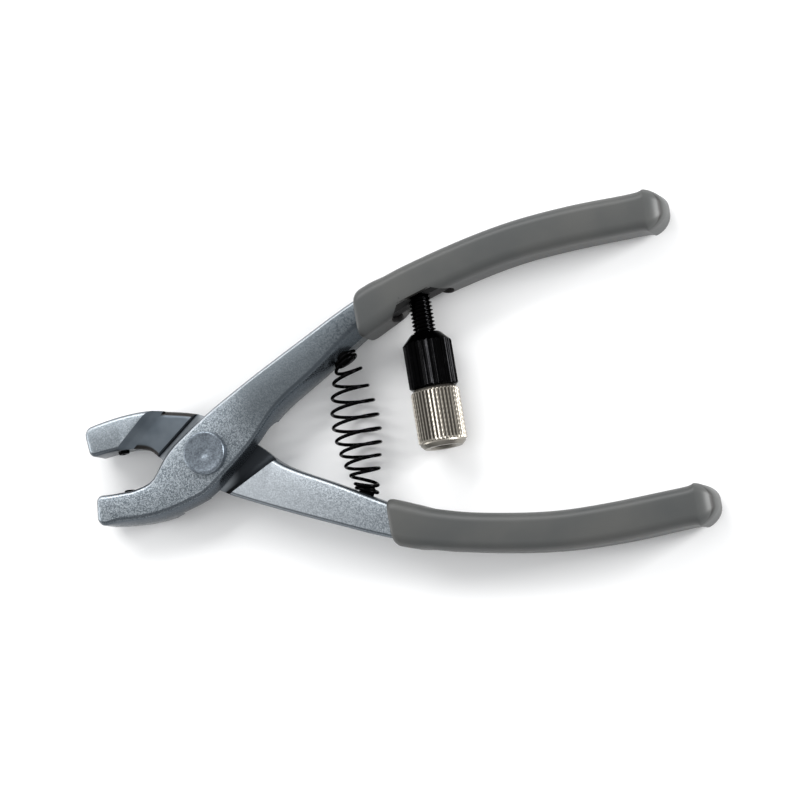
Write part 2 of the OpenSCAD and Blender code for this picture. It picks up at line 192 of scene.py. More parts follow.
class Graph:
    """The node tree of one material, with a Principled surface."""

    def __init__(self, name: str) -> None:
        """Starts a material.

        Args:
            name: The material's name.
        """
        self.material = bpy.data.materials.new(name)
        self.material.use_nodes = True
        self.tree = self.material.node_tree
        self.tree.nodes.clear()
        self.surface = self.tree.nodes.new("ShaderNodeBsdfPrincipled")
        out = self.tree.nodes.new("ShaderNodeOutputMaterial")
        self.tree.links.new(self.surface.outputs["BSDF"], out.inputs["Surface"])

    def plug(self, socket: bpy.types.NodeSocket, value: object) -> None:
        """Sets a socket to a number or colour, or links a value to it.

        Args:
            socket: The input.
            value: A number, colour, socket or Wire.
        """
        if isinstance(value, Wire):
            value = value.source
        if isinstance(value, bpy.types.NodeSocket):
            self.tree.links.new(value, socket)
        elif isinstance(value, tuple) and len(value) == 3 and socket.type == "RGBA":
            socket.default_value = (*value, 1.0)
        else:
            socket.default_value = value

    def node(self, kind: str, settings: dict, values: dict) -> bpy.types.Node:
        """Adds any node but a Math node.

        Args:
            kind: The node's type.
            settings: Its properties, which are set first.
            values: Numbers, colours or links, by the input's name or place.

        Returns:
            The node.
        """
        node = self.tree.nodes.new(kind)
        for key, value in settings.items():
            if key == "stops":
                self._stops(node, value)
            else:
                setattr(node, key, value)
        for key, value in values.items():
            self.plug(node.inputs[key], value)
        return node

    @staticmethod
    def _stops(node: bpy.types.Node, stops: Sequence[tuple[float, tuple]]) -> None:
        """Gives a colour ramp its stops.

        Args:
            node: The ramp.
            stops: Place and colour of each stop, two or more.
        """
        ramp = node.color_ramp
        while len(ramp.elements) < len(stops):
            ramp.elements.new(0.5)
        for element, (place, colour) in zip(ramp.elements, stops):
            element.position = place
            element.color = (*colour, 1.0)

    def maths(self, operation: str, *values: object) -> Wire:
        """Adds a Math node.

        Args:
            operation: The node's operation.
            values: Its inputs in order.

        Returns:
            Its result.
        """
        node = self.tree.nodes.new("ShaderNodeMath")
        node.operation = operation
        for socket, value in zip(node.inputs, values):
            self.plug(socket, value)
        return Wire(self, node.outputs[0])

    def coords(self) -> bpy.types.NodeSocket:
        """Object coordinates, in metres."""
        return self.node("ShaderNodeTexCoord", {}, {}).outputs["Object"]

    def split(self, vector: object) -> tuple[Wire, Wire, Wire]:
        """The three parts of a vector.

        Args:
            vector: The vector's socket.

        Returns:
            Its X, Y and Z.
        """
        node = self.node("ShaderNodeSeparateXYZ", {}, {"Vector": vector})
        return Wire(self, node.outputs[0]), Wire(self, node.outputs[1]), Wire(self, node.outputs[2])

    def normal(self) -> tuple[Wire, Wire, Wire]:
        """The three parts of the surface's normal."""
        return self.split(self.node("ShaderNodeTexCoord", {}, {}).outputs["Normal"])

    def normal_z(self) -> Wire:
        """How far the surface faces up or down, from 0 to 1."""
        return abs(self.normal()[2])

    def noise(self, scale: float, detail: float = 2.0, rough: float = 0.5, vector: object = None) -> Wire:
        """Noise on Object coordinates.

        Args:
            scale: Cells for each metre.
            detail: Octaves.
            rough: Strength of the finer octaves.
            vector: Other coordinates, where they are wanted.

        Returns:
            A value near 0.5.
        """
        values = {"Vector": vector or self.coords(), "Scale": scale, "Detail": detail, "Roughness": rough}
        node = self.node("ShaderNodeTexNoise", {"noise_dimensions": "3D"}, values)
        return Wire(self, node.outputs[0])

    def blend(self, share: object, low: object, high: object) -> Wire:
        """Colour between two others.

        Args:
            share: 0 for low, 1 for high.
            low: First colour.
            high: Second colour.

        Returns:
            The mixed colour.
        """
        node = self.node("ShaderNodeMix", {"data_type": "RGBA"}, {})
        self.plug(node.inputs[0], share)
        self.plug(node.inputs[6], low)
        self.plug(node.inputs[7], high)
        return Wire(self, node.outputs[2])

    def bump(self, height: object, strength: float, depth: float) -> Wire:
        """Bumps from a height.

        Args:
            height: Value from 0 to 1.
            strength: Share of the bump that shows.
            depth: Depth in metres that a height of 1 stands for.

        Returns:
            A normal.
        """
        values = {"Height": height, "Strength": strength, "Distance": depth}
        return Wire(self, self.node("ShaderNodeBump", {}, values).outputs["Normal"])

    def dress(self, **values: object) -> bpy.types.Material:
        """Sets the surface's sockets, named with _ for each space.

        Args:
            values: Numbers, colours or links.

        Returns:
            The finished material.
        """
        for key, value in values.items():
            self.plug(self.surface.inputs[key.replace("_", " ")], value)
        return self.material


# Finishes


@dataclass(frozen=True)
class ShotBlastedSteel:
    """Forged steel, shot blasted on its flats, under clear lacquer. Its sides are darker, partly for the smoother
    trimmed flash and partly as painted shade; painted highlights lighten its glints, top edges and the lower arm's
    face, and painted shade darkens its lower edges, the upper handle's face and the steel hidden in the sleeves.
    """

    light: tuple[float, float, float] = (0.36, 0.398, 0.428)
    dark: tuple[float, float, float] = (0.120, 0.142, 0.162)
    # Dark side tone: partly the smoother trimmed flash, partly painted shade; also used for painted dark lines and
    # dark specks.
    edge: tuple[float, float, float] = (0.050, 0.060, 0.072)
    # Tone of the painted shade on the upper handle's face.
    upper_handle_shade: tuple[float, float, float] = (0.095, 0.11, 0.122)
    # Tone of the painted highlights: glints, top edges and the lower arm's face.
    bright: tuple[float, float, float] = (0.62, 0.66, 0.70)
    # Near-black tone of the painted shade on steel hidden inside the sleeves.
    sleeve_shade: tuple[float, float, float] = (0.012, 0.012, 0.012)
    covered_from_m: float = 0.0478
    grain_per_m: float = 3200.0
    grain_depth_m: float = 0.0001

    def build(self) -> bpy.types.Material:
        """Makes the material."""
        g = Graph("shot_blasted_steel")
        upright = g.normal_z()
        x, y, z = g.split(g.coords())
        flat = upright.ramp(0.55, 0.93)
        outer = abs(z - MIDDLE_Z * MM).ramp(0.0036, 0.0042)
        rim = upright.ramp(0.66, 0.84) * (1.0 - upright.ramp(0.93, 0.985)) * outer
        grain = g.noise(self.grain_per_m, 2.0, 0.65)
        glints = g.noise(self.grain_per_m * 0.7, 1.0, 0.4).ramp(0.58, 0.70)
        clouds = g.noise(70.0, 3.0, 0.55)
        speck = grain.ramp(0.39, 0.63)
        calm = (1.0 - x.ramp(-0.012, -0.004)) * y.ramp(-0.001, 0.001)
        speck = speck + (0.55 - speck) * calm * 0.6
        face = g.blend(speck, self.dark, self.light)
        face = g.blend(glints * 0.3, face, self.bright)
        face = g.blend(clouds.ramp(0.35, 0.75) * 0.25, face, self.dark)
        # Painted shade: the upper handle's face is darkened, from near the pivot out to the grip.
        handled = x.ramp(0.002, 0.016)
        face = g.blend(handled * y.ramp(-0.006, 0.010) * 0.86, face, self.upper_handle_shade)
        # Painted highlight: the lower arm's face is lightened, most near the pivot and less towards the grip.
        lower = (x * 0.4226 - y * 0.9063).ramp(0.0105, 0.0130)
        face = g.blend(lower * (1.0 - x.ramp(0.008, 0.046)).mix(0.15, 0.60), face, self.bright)
        coarse = g.noise(1500.0, 1.0, 0.5).ramp(0.53, 0.60) * x.ramp(0.028, 0.046) * y.ramp(0.0, 0.010)
        face = g.blend(coarse * 0.75, face, self.edge)
        # Sides take the darker tone, lighter towards the handle: partly the smoother trimmed flash, partly painted
        # shade.
        side = g.blend(speck * 0.25 + 0.2, self.edge, self.dark)
        side = g.blend(handled * 0.6, side, self.dark)
        colour = g.blend(flat, side, face)
        # Painted highlight on edges that lean up and a painted dark line on edges that lean down, on the outer faces
        # only.
        leans = g.normal()[1]
        colour = g.blend(rim * leans.ramp(0.10, 0.40) * 0.5, colour, self.bright)
        colour = g.blend(rim * (1.0 - leans.ramp(-0.40, -0.10)) * 0.75, colour, self.edge)
        # Painted shade: steel inside the sleeves, seen only through the slot, is made near black and matte.
        bare = 1.0 - x.ramp(self.covered_from_m, self.covered_from_m + 0.0008)
        colour = g.blend(bare, self.sleeve_shade, colour)
        height = grain * 0.75 + g.noise(900.0, 2.0) * 0.25
        share = flat.mix(0.25, 1.0)
        rough = flat.mix(0.30, 0.40) + (speck - 0.5) * 0.14
        return g.dress(
            Base_Color=colour,
            Metallic=bare * 0.9,
            Roughness=rough + (1.0 - bare) * 0.5,
            Normal=g.bump(height * share, 0.9, self.grain_depth_m),
            Coat_Weight=bare * 0.1,
            Coat_Roughness=0.15,
        )


@dataclass(frozen=True)
class MilledSteel:
    """The lap's floors and walls, milled smooth and dark grey; painted shade darkens the walls, the recess's rolled
    edges and the handle-side cove, and painted light makes the lap's floor at the middle plane pale.
    """

    colour: tuple[float, float, float] = (0.080, 0.097, 0.115)
    pale: tuple[float, float, float] = (0.115, 0.135, 0.155)
    # Pale tone of the painted light on the lap's floor.
    floor: tuple[float, float, float] = (0.40, 0.43, 0.46)
    # Near-black tone of the painted shade on the rolled edges.
    rolled: tuple[float, float, float] = (0.022, 0.020, 0.019)
    # Dark tone of the painted shade on the walls and in the handle-side cove.
    scale: tuple[float, float, float] = (0.022, 0.026, 0.031)

    def build(self) -> bpy.types.Material:
        """Makes the material."""
        g = Graph("milled_steel")
        stretched = g.node("ShaderNodeMapping", {}, {"Vector": g.coords(), "Scale": (0.12, 1.0, 1.0)})
        marks = g.noise(2600.0, 2.0, 0.5, stretched.outputs[0])
        clouds = g.noise(140.0, 2.0)
        x, _, z = g.split(g.coords())
        colour = g.blend(clouds.ramp(0.35, 0.7), self.colour, self.pale)
        # Painted shade: walls that face sideways are darkened.
        colour = g.blend(1.0 - g.normal_z().ramp(0.25, 0.66), colour, self.scale)
        height = abs(z - MIDDLE_Z * MM)
        # Painted shade: surfaces nearer the middle plane than the recess's floor, the rolled edges and deep walls,
        # are darkened to near black.
        colour = g.blend(1.0 - height.ramp(0.0020, 0.00226), colour, self.rolled)
        # Painted light: the lap's floor at the middle plane is made pale, against the shade of the narrow groove.
        colour = g.blend(1.0 - height.ramp(0.0001, 0.0004), colour, self.floor)
        return g.dress(
            # Painted shade: everything on the handle side, in the cove under the front arm, is darkened.
            Base_Color=g.blend(x.ramp(0.001, 0.007), colour, self.scale),
            Metallic=0.75,
            Roughness=marks.mix(0.36, 0.52),
            Normal=g.bump(marks, 0.25, 0.00004),
        )


@dataclass(frozen=True)
class StruckSteel:
    """The rivet's heads: satin, pitted and finely turned by the closing tool."""

    light: tuple[float, float, float] = (0.235, 0.27, 0.305)
    dark: tuple[float, float, float] = (0.085, 0.10, 0.12)

    def build(self) -> bpy.types.Material:
        """Makes the material."""
        g = Graph("struck_steel")
        x, y, _ = g.split(g.coords())
        radius = g.maths("SQRT", x * x + y * y)
        rings = (radius * 24000.0 + g.noise(420.0, 2.0) * 5.0).sine()
        pits = g.noise(2100.0, 3.0, 0.65)
        broad = g.noise(260.0, 2.0)
        tone = pits.ramp(0.34, 0.68) * 0.75 + broad.ramp(0.35, 0.7) * 0.25
        height = pits * 0.8 + rings * 0.05 + broad * 0.25
        return g.dress(
            Base_Color=g.blend(tone, self.dark, self.light),
            Metallic=0.9,
            Roughness=tone.mix(0.44, 0.32),
            Normal=g.bump(height, 0.85, 0.00009),
        )


@dataclass(frozen=True)
class MouldedSleeve:
    """Soft grey plastic, matte, with a fine moulded skin and a few dark specks; its inside, seen through the slot,
    is near black as painted shade.
    """

    colour: tuple[float, float, float] = (0.054, 0.057, 0.057)
    warm: tuple[float, float, float] = (0.070, 0.071, 0.068)
    speck: tuple[float, float, float] = (0.03, 0.03, 0.03)
    # Near-black tone of the painted shade inside the sleeve.
    inner: tuple[float, float, float] = (0.012, 0.011, 0.010)

    def build(self) -> bpy.types.Material:
        """Makes the material."""
        g = Graph("moulded_sleeve")
        skin = g.noise(3600.0, 2.0, 0.6)
        clouds = g.noise(60.0, 3.0)
        dots = g.node("ShaderNodeTexVoronoi", {"feature": "F1"}, {"Vector": g.coords(), "Scale": 260.0})
        near = Wire(g, dots.outputs["Distance"])
        rare = g.noise(130.0, 0.0).ramp(0.6, 0.66)
        spots = (1.0 - near.ramp(0.035, 0.075)) * rare
        base = g.blend(clouds.ramp(0.3, 0.75), self.colour, self.warm)
        rough = clouds.mix(0.40, 0.50) + (skin - 0.5) * 0.10
        x, y, z = g.split(g.coords())
        along, across, upright = g.normal()
        # Painted shade: the bore's walls, the slot's ends and the slot's floor are made near black.
        bore = (1.0 - abs(z - MIDDLE_Z * MM).ramp(0.0047, 0.0051)) * abs(upright).ramp(0.3, 0.6)
        base = g.blend(bore, base, self.inner)
        slot_end = abs(along).ramp(0.35, 0.60) * x.ramp(0.050, 0.052) * (1.0 - x.ramp(0.078, 0.080))
        base = g.blend(slot_end, base, self.inner)
        slot_floor = (1.0 - across.ramp(-0.80, -0.50)) * x.ramp(0.0586, 0.0590) * (1.0 - x.ramp(0.0666, 0.0670))
        base = g.blend(slot_floor * y.ramp(0.0, 0.001), base, self.inner)
        return g.dress(
            Base_Color=g.blend(spots * 0.7, base, self.speck),
            Roughness=rough,
            Normal=g.bump(skin * 0.6 + clouds * 0.4, 0.30, 0.00005),
            Specular_IOR_Level=0.42,
        )


@dataclass(frozen=True)
class BlackOxide:
    """Black oxide on steel: near black, with an oily shine and a little rubbed metal."""

    colour: tuple[float, float, float] = (0.002, 0.002, 0.0022)
    rubbed: tuple[float, float, float] = (0.008, 0.008, 0.0085)

    def build(self) -> bpy.types.Material:
        """Makes the material."""
        g = Graph("black_oxide")
        grain = g.noise(2400.0, 3.0, 0.6)
        worn = g.noise(420.0, 3.0, 0.6).ramp(0.52, 0.78)
        return g.dress(
            Base_Color=g.blend(worn * 0.6, self.colour, self.rubbed),
            Metallic=0.92,
            Specular_IOR_Level=0.3,
            Specular_Tint=(0.45, 0.45, 0.45),
            Roughness=grain.mix(0.10, 0.24),
            Normal=g.bump(grain, 0.35, 0.00005),
        )


@dataclass(frozen=True)
class NickelPlate:
    """Bright nickel over a straight knurl, with the faint slanting marks of the knurling rolls."""

    axis_x: float = 0.0625
    axis_z: float = MIDDLE_Z * MM
    crest: float = 0.00625
    root: float = 0.0059
    bright: tuple[float, float, float] = (0.30, 0.28, 0.246)
    # Near-black tone of the painted shade in the knurl's grooves.
    groove_shade: tuple[float, float, float] = (0.020, 0.017, 0.013)

    def build(self) -> bpy.types.Material:
        """Makes the material."""
        g = Graph("nickel_plate")
        x, y, z = g.split(g.coords())
        dx = x - self.axis_x
        dz = z - self.axis_z
        radius = g.maths("SQRT", dx * dx + dz * dz)
        turn = g.maths("ARCTAN2", dz, dx)
        slant = (turn * 36.0 + y * 5200.0).sine() * 0.5 + 0.5
        counter = (turn * 36.0 - y * 5200.0).sine() * 0.5 + 0.5
        on_rib = y.ramp(-0.0086, -0.0082) * (1.0 - y.ramp(0.0040, 0.0043))
        marks = (slant * 0.7 + counter * 0.3) * on_rib
        pits = g.noise(2800.0, 3.0, 0.6)
        # Painted shade: the knurl's grooves are darkened to near black.
        sunk = (1.0 - radius.ramp(self.root + 0.0001, self.crest - 0.00003)) * on_rib
        tone = sunk * 0.9 + pits.ramp(0.55, 0.8) * 0.1
        return g.dress(
            Base_Color=g.blend(tone, self.bright, self.groove_shade),
            Metallic=0.96,
            Roughness=pits.mix(0.32, 0.46),
            Normal=g.bump(marks * 0.8 + pits * 0.2, 0.55, 0.00009),
        )


@dataclass(frozen=True)
class Finishes:
    """All the finishes, made once."""

    forged: bpy.types.Material
    milled: bpy.types.Material
    struck: bpy.types.Material
    sleeve: bpy.types.Material
    black: bpy.types.Material
    nickel: bpy.types.Material

    @classmethod
    def make(cls) -> "Finishes":
        """Builds each material."""
        return cls(
            forged=ShotBlastedSteel().build(),
            milled=MilledSteel().build(),
            struck=StruckSteel().build(),
            sleeve=MouldedSleeve().build(),
            black=BlackOxide().build(),
            nickel=NickelPlate().build(),
        )


# Modelling by hand operators


class Workpiece:
    """One mesh on the bench, in millimetres, shaped in edit mode."""

    def __init__(self, name: str, adder: Callable[..., set], **size: object) -> None:
        """Adds the primitive that the piece starts from and opens it for editing.

        Args:
            name: The piece's name.
            adder: The operator that adds the primitive.
            size: The operator's sizes.
        """
        self.object_mode()
        bpy.ops.object.select_all(action="DESELECT")
        adder(**size)
        self.obj = bpy.context.object
        self.obj.name = name
        self.obj.data.name = name
        bpy.ops.object.mode_set(mode="EDIT")
        bpy.ops.mesh.select_mode(type=Pick.VERTS.value)

    @staticmethod
    def object_mode() -> None:
        """Leaves edit mode, where something is being edited."""
        if bpy.context.object and bpy.context.object.mode != "OBJECT":
            bpy.ops.object.mode_set(mode="OBJECT")

    def pick(self, kind: Pick, test: Callable[[object], bool]) -> int:
        """Selects the elements that pass a test, and nothing else.

        Args:
            kind: Vertices, edges or faces.
            test: Says of an element whether it is wanted.

        Returns:
            How many were selected.
        """
        bpy.ops.mesh.select_mode(type=kind.value)
        bpy.ops.mesh.select_all(action="DESELECT")
        mesh = bmesh.from_edit_mesh(self.obj.data)
        mesh.normal_update()
        group = {Pick.VERTS: mesh.verts, Pick.EDGES: mesh.edges, Pick.FACES: mesh.faces}[kind]
        wanted = [e for e in group if test(e)]
        for element in wanted:
            element.select_set(True)
        mesh.select_flush_mode()
        bmesh.update_edit_mesh(self.obj.data)
        return len(wanted)

    @staticmethod
    def pick_all() -> None:
        """Selects everything."""
        bpy.ops.mesh.select_all(action="SELECT")

    @staticmethod
    def draw_out(way: Vector) -> None:
        """Extrudes what is selected.

        Args:
            way: How far and which way.
        """
        bpy.ops.mesh.extrude_region_move(TRANSFORM_OT_translate={"value": tuple(way)})

    @staticmethod
    def move(way: Vector) -> None:
        """Moves what is selected."""
        bpy.ops.transform.translate(value=tuple(way))

    @staticmethod
    def grow(share: tuple[float, float, float], centre: Vector) -> None:
        """Scales what is selected about a point."""
        bpy.ops.transform.resize(value=share, center_override=tuple(centre))

    @staticmethod
    def turn(angle: float, axis: str, centre: Vector) -> None:
        """Turns what is selected by the right-hand rule; without a window the operator's sign is the other way.

        Args:
            angle: In radians.
            axis: X, Y or Z.
            centre: The point that stays.
        """
        bpy.ops.transform.rotate(value=-angle, orient_axis=axis, center_override=tuple(centre))

    @staticmethod
    def round_off(width: float, steps: int, of: str = "EDGES", shape: float = 0.5) -> None:
        """Bevels what is selected.

        Args:
            width: How far the bevel reaches.
            steps: Its segments.
            of: EDGES or VERTICES.
            shape: The bevel's profile, 0.5 for round.
        """
        bpy.ops.mesh.bevel(offset=width, segments=steps, profile=shape, affect=of, clamp_overlap=False)

    @staticmethod
    def step_in(width: float, depth: float = 0.0) -> None:
        """Insets the selected faces, and moves them along their normal."""
        bpy.ops.mesh.inset(thickness=width, depth=depth)

    def modify(self, kind: str, **settings: object) -> None:
        """Adds a modifier and applies it.

        Args:
            kind: The modifier's type.
            settings: Its properties.
        """
        self.object_mode()
        bpy.ops.object.select_all(action="DESELECT")
        bpy.context.view_layer.objects.active = self.obj
        self.obj.select_set(True)
        modifier = self.obj.modifiers.new(kind.lower(), kind)
        for key, value in settings.items():
            setattr(modifier, key, value)
        bpy.ops.object.modifier_apply(modifier=modifier.name)
        bpy.ops.object.mode_set(mode="EDIT")

    def cut(self, cutter: "Workpiece", how: str = "DIFFERENCE") -> None:
        """Cuts this piece with another, which is used up.

        Args:
            cutter: The other piece.
            how: The boolean's operation.
        """
        self.object_mode()
        self.modify("BOOLEAN", operation=how, solver="EXACT", object=cutter.obj)
        self.object_mode()
        bpy.data.objects.remove(cutter.obj, do_unlink=True)
        bpy.context.view_layer.objects.active = self.obj
        self.obj.select_set(True)
        bpy.ops.object.mode_set(mode="EDIT")

    def clean(self, reach: float = 0.0005) -> None:
        """Merges doubles and turns every face outwards.

        Args:
            reach: Distance under which two points are one, in millimetres.
        """
        self.pick_all()
        bpy.ops.mesh.remove_doubles(threshold=reach)
        bpy.ops.mesh.normals_make_consistent(inside=False)

    def finish(self, body: Half, slot: Slot, node: str, skins: Sequence[bpy.types.Material],
               smooth: float = 35.0, turned_over: bool = False) -> bpy.types.Object:
        """Lays the piece in the part's frame and hands it to its body.

        Args:
            body: The body that it rides on.
            slot: The record's slot; not used.
            node: The CAD node that it stands for.
            skins: Its materials; the first is on every face that no step gave another.
            smooth: Angle under which edges are shaded smooth, in degrees.
            turned_over: True for the rear half's pieces, turned about the tool's axis.

        Returns:
            The finished object.
        """
        self.clean()
        self.object_mode()
        bpy.ops.object.select_all(action="DESELECT")
        bpy.context.view_layer.objects.active = self.obj
        self.obj.select_set(True)
        bpy.ops.object.transform_apply(location=True, rotation=True, scale=True)
        place = Matrix.Translation((0, 0, MIDDLE_Z))
        if turned_over:
            place = place @ Matrix.Rotation(math.pi, 4, "X")
        self.obj.data.transform(Matrix.Scale(MM, 4) @ place)
        bpy.ops.object.shade_smooth_by_angle(angle=math.radians(smooth))
        if not self.obj.data.materials:
            for skin in skins:
                self.obj.data.materials.append(skin)
        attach(self.obj, body.value)
        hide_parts(node)
        log.info("%s: %d faces on %s", self.obj.name, len(self.obj.data.polygons), body.value)
        return self.obj


# The tool's pieces


@dataclass(frozen=True)
class Station:
    """A place on an arm's middle line."""

    at: Vector
    along: Vector
    width: float

    @property
    def left(self) -> Vector:
        """The way across the arm, to the left of its run."""
        return Vector((-self.along.y, self.along.x, 0.0))

    @property
    def angle(self) -> float:
        """Angle of the run to the tool's axis."""
        return math.atan2(self.along.y, self.along.x)

    def seat(self, side: int) -> Vector:
        """The point on the arm's edge, 1 on the left and -1 on the right."""
        return self.at + self.left * (side * self.width / 2)


@dataclass(frozen=True)
class MiddleLine:
    """The smooth middle line of an arm, from the jaw's root to the end of the handle."""

    knots: tuple[tuple[float, float, float], ...] = (
        (-30.6, -9.264, 8.348), (-27.06, -9.648, 8.692), (-20.46, -9.888, 9.364), (-13.86, -8.669, 11.3),
        (-6.402, -4.368, 16.318), (0.0, 0.0, 16.4), (8.568, 5.859, 14.858), (17.388, 11.907, 11.808),
        (31.5, 19.127, 10.578), (46.998, 26.989, 8.79), (59.976, 31.639, 7.708), (74.97, 35.078, 7.544),
        (90.09, 37.346, 7.544), (105.084, 37.989, 7.544), (120.078, 37.724, 7.544), (126.0, 37.649, 7.413),
    )

    @property
    def spans(self) -> int:
        """Number of stretches between knots."""
        return len(self.knots) - 1

    def _knot(self, k: int) -> Vector:
        """A knot as x, y and width; past the ends, the end one."""
        return Vector(self.knots[max(0, min(self.spans, k))])

    def at(self, u: float) -> Station:
        """The station at u, counted in knots.

        Args:
            u: From 0 to the number of spans.

        Returns:
            The station.
        """
        k = max(0, min(self.spans - 1, math.floor(u)))
        t = u - k
        a, b, c, d = (self._knot(k + i) for i in (-1, 0, 1, 2))
        bend = 2 * a - 5 * b + 4 * c - d
        twist = 3 * b - a - 3 * c + d
        point = 0.5 * (2 * b + (c - a) * t + bend * t * t + twist * t * t * t)
        slope = 0.5 * ((c - a) + 2 * bend * t + 3 * twist * t * t)
        run = Vector((slope.x, slope.y, 0.0)).normalized()
        return Station(Vector((point.x, point.y, 0.0)), run, point.z)

    def seek(self, x: float, side: int = 0) -> float:
        """The place where the line, or one of the arm's edges, reaches x.

        Args:
            x: Distance along the tool's axis.
            side: 0 for the line, 1 for the left edge, -1 for the right one.

        Returns:
            The station's number.
        """
        low, high = 0.0, float(self.spans)
        for _ in range(40):
            middle = (low + high) / 2
            if self.at(middle).seat(side).x < x:
                low = middle
            else:
                high = middle
        return (low + high) / 2


@dataclass
class Arm:
    """A forged arm: jaw, lapped root and bare handle. Both arms are the same forging."""

    finishes: Finishes
    line: MiddleLine = field(default_factory=MiddleLine)
    thick: float = 9.0
    tip_reach: float = 2.4
    tip_corner: float = 2.4
    bite_corner: float = 1.7
    trim: float = 0.16
    edge: float = 1.1
    edge_steps: int = 5
    edge_shape: float = 0.42
    recess_edge: float = 1.8
    recess_lean: float = 0.9
    flank_depth: float = 3.4
    flank: tuple[tuple[float, float], ...] = (
        (-31.5, 0.0), (-26.0, 1.2), (-16.0, 1.3), (-5.0, 1.0), (6.0, 0.5), (12.0, 0.5), (26.0, 1.3), (48.0, 2.9),
    )
    steps: int = 6
    lap_gap: float = 0.1
    jaw_wall: float = 10.5
    jaw_angle: float = 36.0
    handle_wall: float = 12.5
    handle_angle: float = 25.0
    cove: float = 3.5
    recess_wall: float = 20.3
    recess_angle: float = 39.6
    recess_depth: float = 2.2

    def build(self, name: str, node: str, body: Half, turned_over: bool) -> bpy.types.Object:
        """Models one arm.

        Args:
            name: The piece's name.
            node: The CAD node that it stands for.
            body: The half that it belongs to.
            turned_over: True for the rear arm.

        Returns:
            The arm.
        """
        arm = self._blank(name)
        self._thicken(arm)
        floor = self.recess_depth - self.thick / 2
        arm.cut(self._lap_cutter(-1, self.recess_wall, self.recess_angle, floor, 1.2, self.recess_lean))
        self._roll_recess(arm, floor)
        arm.cut(self._lap_cutter(-1, self.jaw_wall, self.jaw_angle, self.lap_gap / 2, 0.7))
        arm.cut(self._lap_cutter(1, self.handle_wall, self.handle_angle, self.lap_gap / 2, self.cove))
        self._ease(arm)
        for skin in (self.finishes.forged, self.finishes.milled):
            arm.obj.data.materials.append(skin)
        self._mark_milled(arm)
        return arm.finish(body, Slot.FORGED, node, (), 32.0, turned_over)

    def _stations(self) -> list[Station]:
        """Stations from the jaw's tip to the handle's end, a trimmed flash narrower than the line says."""
        count = self.line.spans * self.steps
        run = [self.line.at(i / self.steps) for i in range(count + 1)]
        first = run[0]
        run.insert(0, Station(first.at - first.along * (self.tip_reach - self.trim), first.along, first.width))
        return [Station(s.at, s.along, s.width - 2 * self.trim) for s in run]

    def _blank(self, name: str) -> Workpiece:
        """A flat strip: its far edge is drawn out, turned and widened from station to station."""
        run = self._stations()
        first, second = run[0], run[1]
        arm = Workpiece(name, bpy.ops.mesh.primitive_plane_add, size=1.0)
        arm.pick_all()
        arm.grow(((second.at - first.at).length, first.width, 1.0), Vector())
        arm.turn(first.angle, "Z", Vector())
        arm.move((first.at + second.at) / 2)
        for a, b in zip(run[1:], run[2:]):
            arm.pick(Pick.EDGES, lambda e, at=a.at, w=a.width: self._is_end(e, at, w))
            arm.draw_out(b.at - a.at)
            arm.turn(b.angle - a.angle, "Z", b.at)
            arm.grow((b.width / a.width, b.width / a.width, 1.0), b.at)
        return arm

    @staticmethod
    def _is_end(edge: bmesh.types.BMEdge, at: Vector, width: float) -> bool:
        """Tells the strip's open end edge by its middle, its length and its single face."""
        middle = (edge.verts[0].co + edge.verts[1].co) / 2
        near = (middle - at).length < 0.01 and abs(edge.calc_length() - width) < 0.01
        return near and len(edge.link_faces) == 1

    def _thicken(self, arm: Workpiece) -> None:
        """Rounds the tip's corners in plan, gives the strip its thickness and rolls its edges."""
        tip = self._stations()[0]
        for side, reach in ((1, self.bite_corner), (-1, self.tip_corner)):
            arm.pick(Pick.VERTS, lambda v, at=tip.seat(side): (v.co - at).length < 0.05)
            arm.round_off(reach, 5, "VERTICES")
        arm.clean()
        arm.pick_all()
        arm.move(Vector((0, 0, -self.thick / 2)))
        arm.draw_out(Vector((0, 0, self.thick - self.flank_depth)))
        arm.draw_out(Vector((0, 0, self.flank_depth)))
        self._slope_flank(arm)
        arm.clean()
        arm.pick(Pick.EDGES, self._is_rim)
        arm.round_off(self.edge, self.edge_steps, "EDGES", self.edge_shape)
        arm.clean()

    def _slope_flank(self, arm: Workpiece) -> None:
        """Draws the upper face in along the arm's lower side, most of all towards the grip."""
        for here in self._stations():
            reach = self._flank_reach(here.at.x)
            if reach > 0:
                corner = here.seat(-1) + Vector((0, 0, self.thick / 2))
                arm.pick(Pick.VERTS, lambda v, at=corner: (v.co - at).length < 0.05)
                arm.move(here.left * reach)

    def _flank_reach(self, x: float) -> float:
        """How far the upper face is drawn in at a place along the tool, eased between the stated ones."""
        for (x0, r0), (x1, r1) in zip(self.flank, self.flank[1:]):
            if x < x1:
                f = max(0.0, min(1.0, (x - x0) / (x1 - x0)))
                return r0 + (r1 - r0) * f * f * (3 - 2 * f)
        return self.flank[-1][1]

    @staticmethod
    def _is_rim(edge: bmesh.types.BMEdge) -> bool:
        """Tells an edge between a flat face and a side."""
        flats = [abs(f.normal.z) > 0.99 for f in edge.link_faces]
        return len(flats) == 2 and flats[0] != flats[1]

    def _roll_recess(self, arm: Workpiece, floor: float) -> None:
        """Rolls the recess's outer edges, where its floor meets the arm's sides.

        Args:
            arm: The arm.
            floor: Height of the recess's floor.
        """
        def on_side(edge: bmesh.types.BMEdge) -> bool:
            """Tells an edge between the floor and a side."""
            if any(abs(v.co.z - floor) > 0.01 for v in edge.verts):
                return False
            lean = sorted(f.normal.z for f in edge.link_faces)
            return lean[0] < -0.99 and abs(lean[-1]) < 0.3

        arm.clean()
        arm.pick(Pick.EDGES, on_side)
        arm.round_off(self.recess_edge, 5)
        arm.clean()

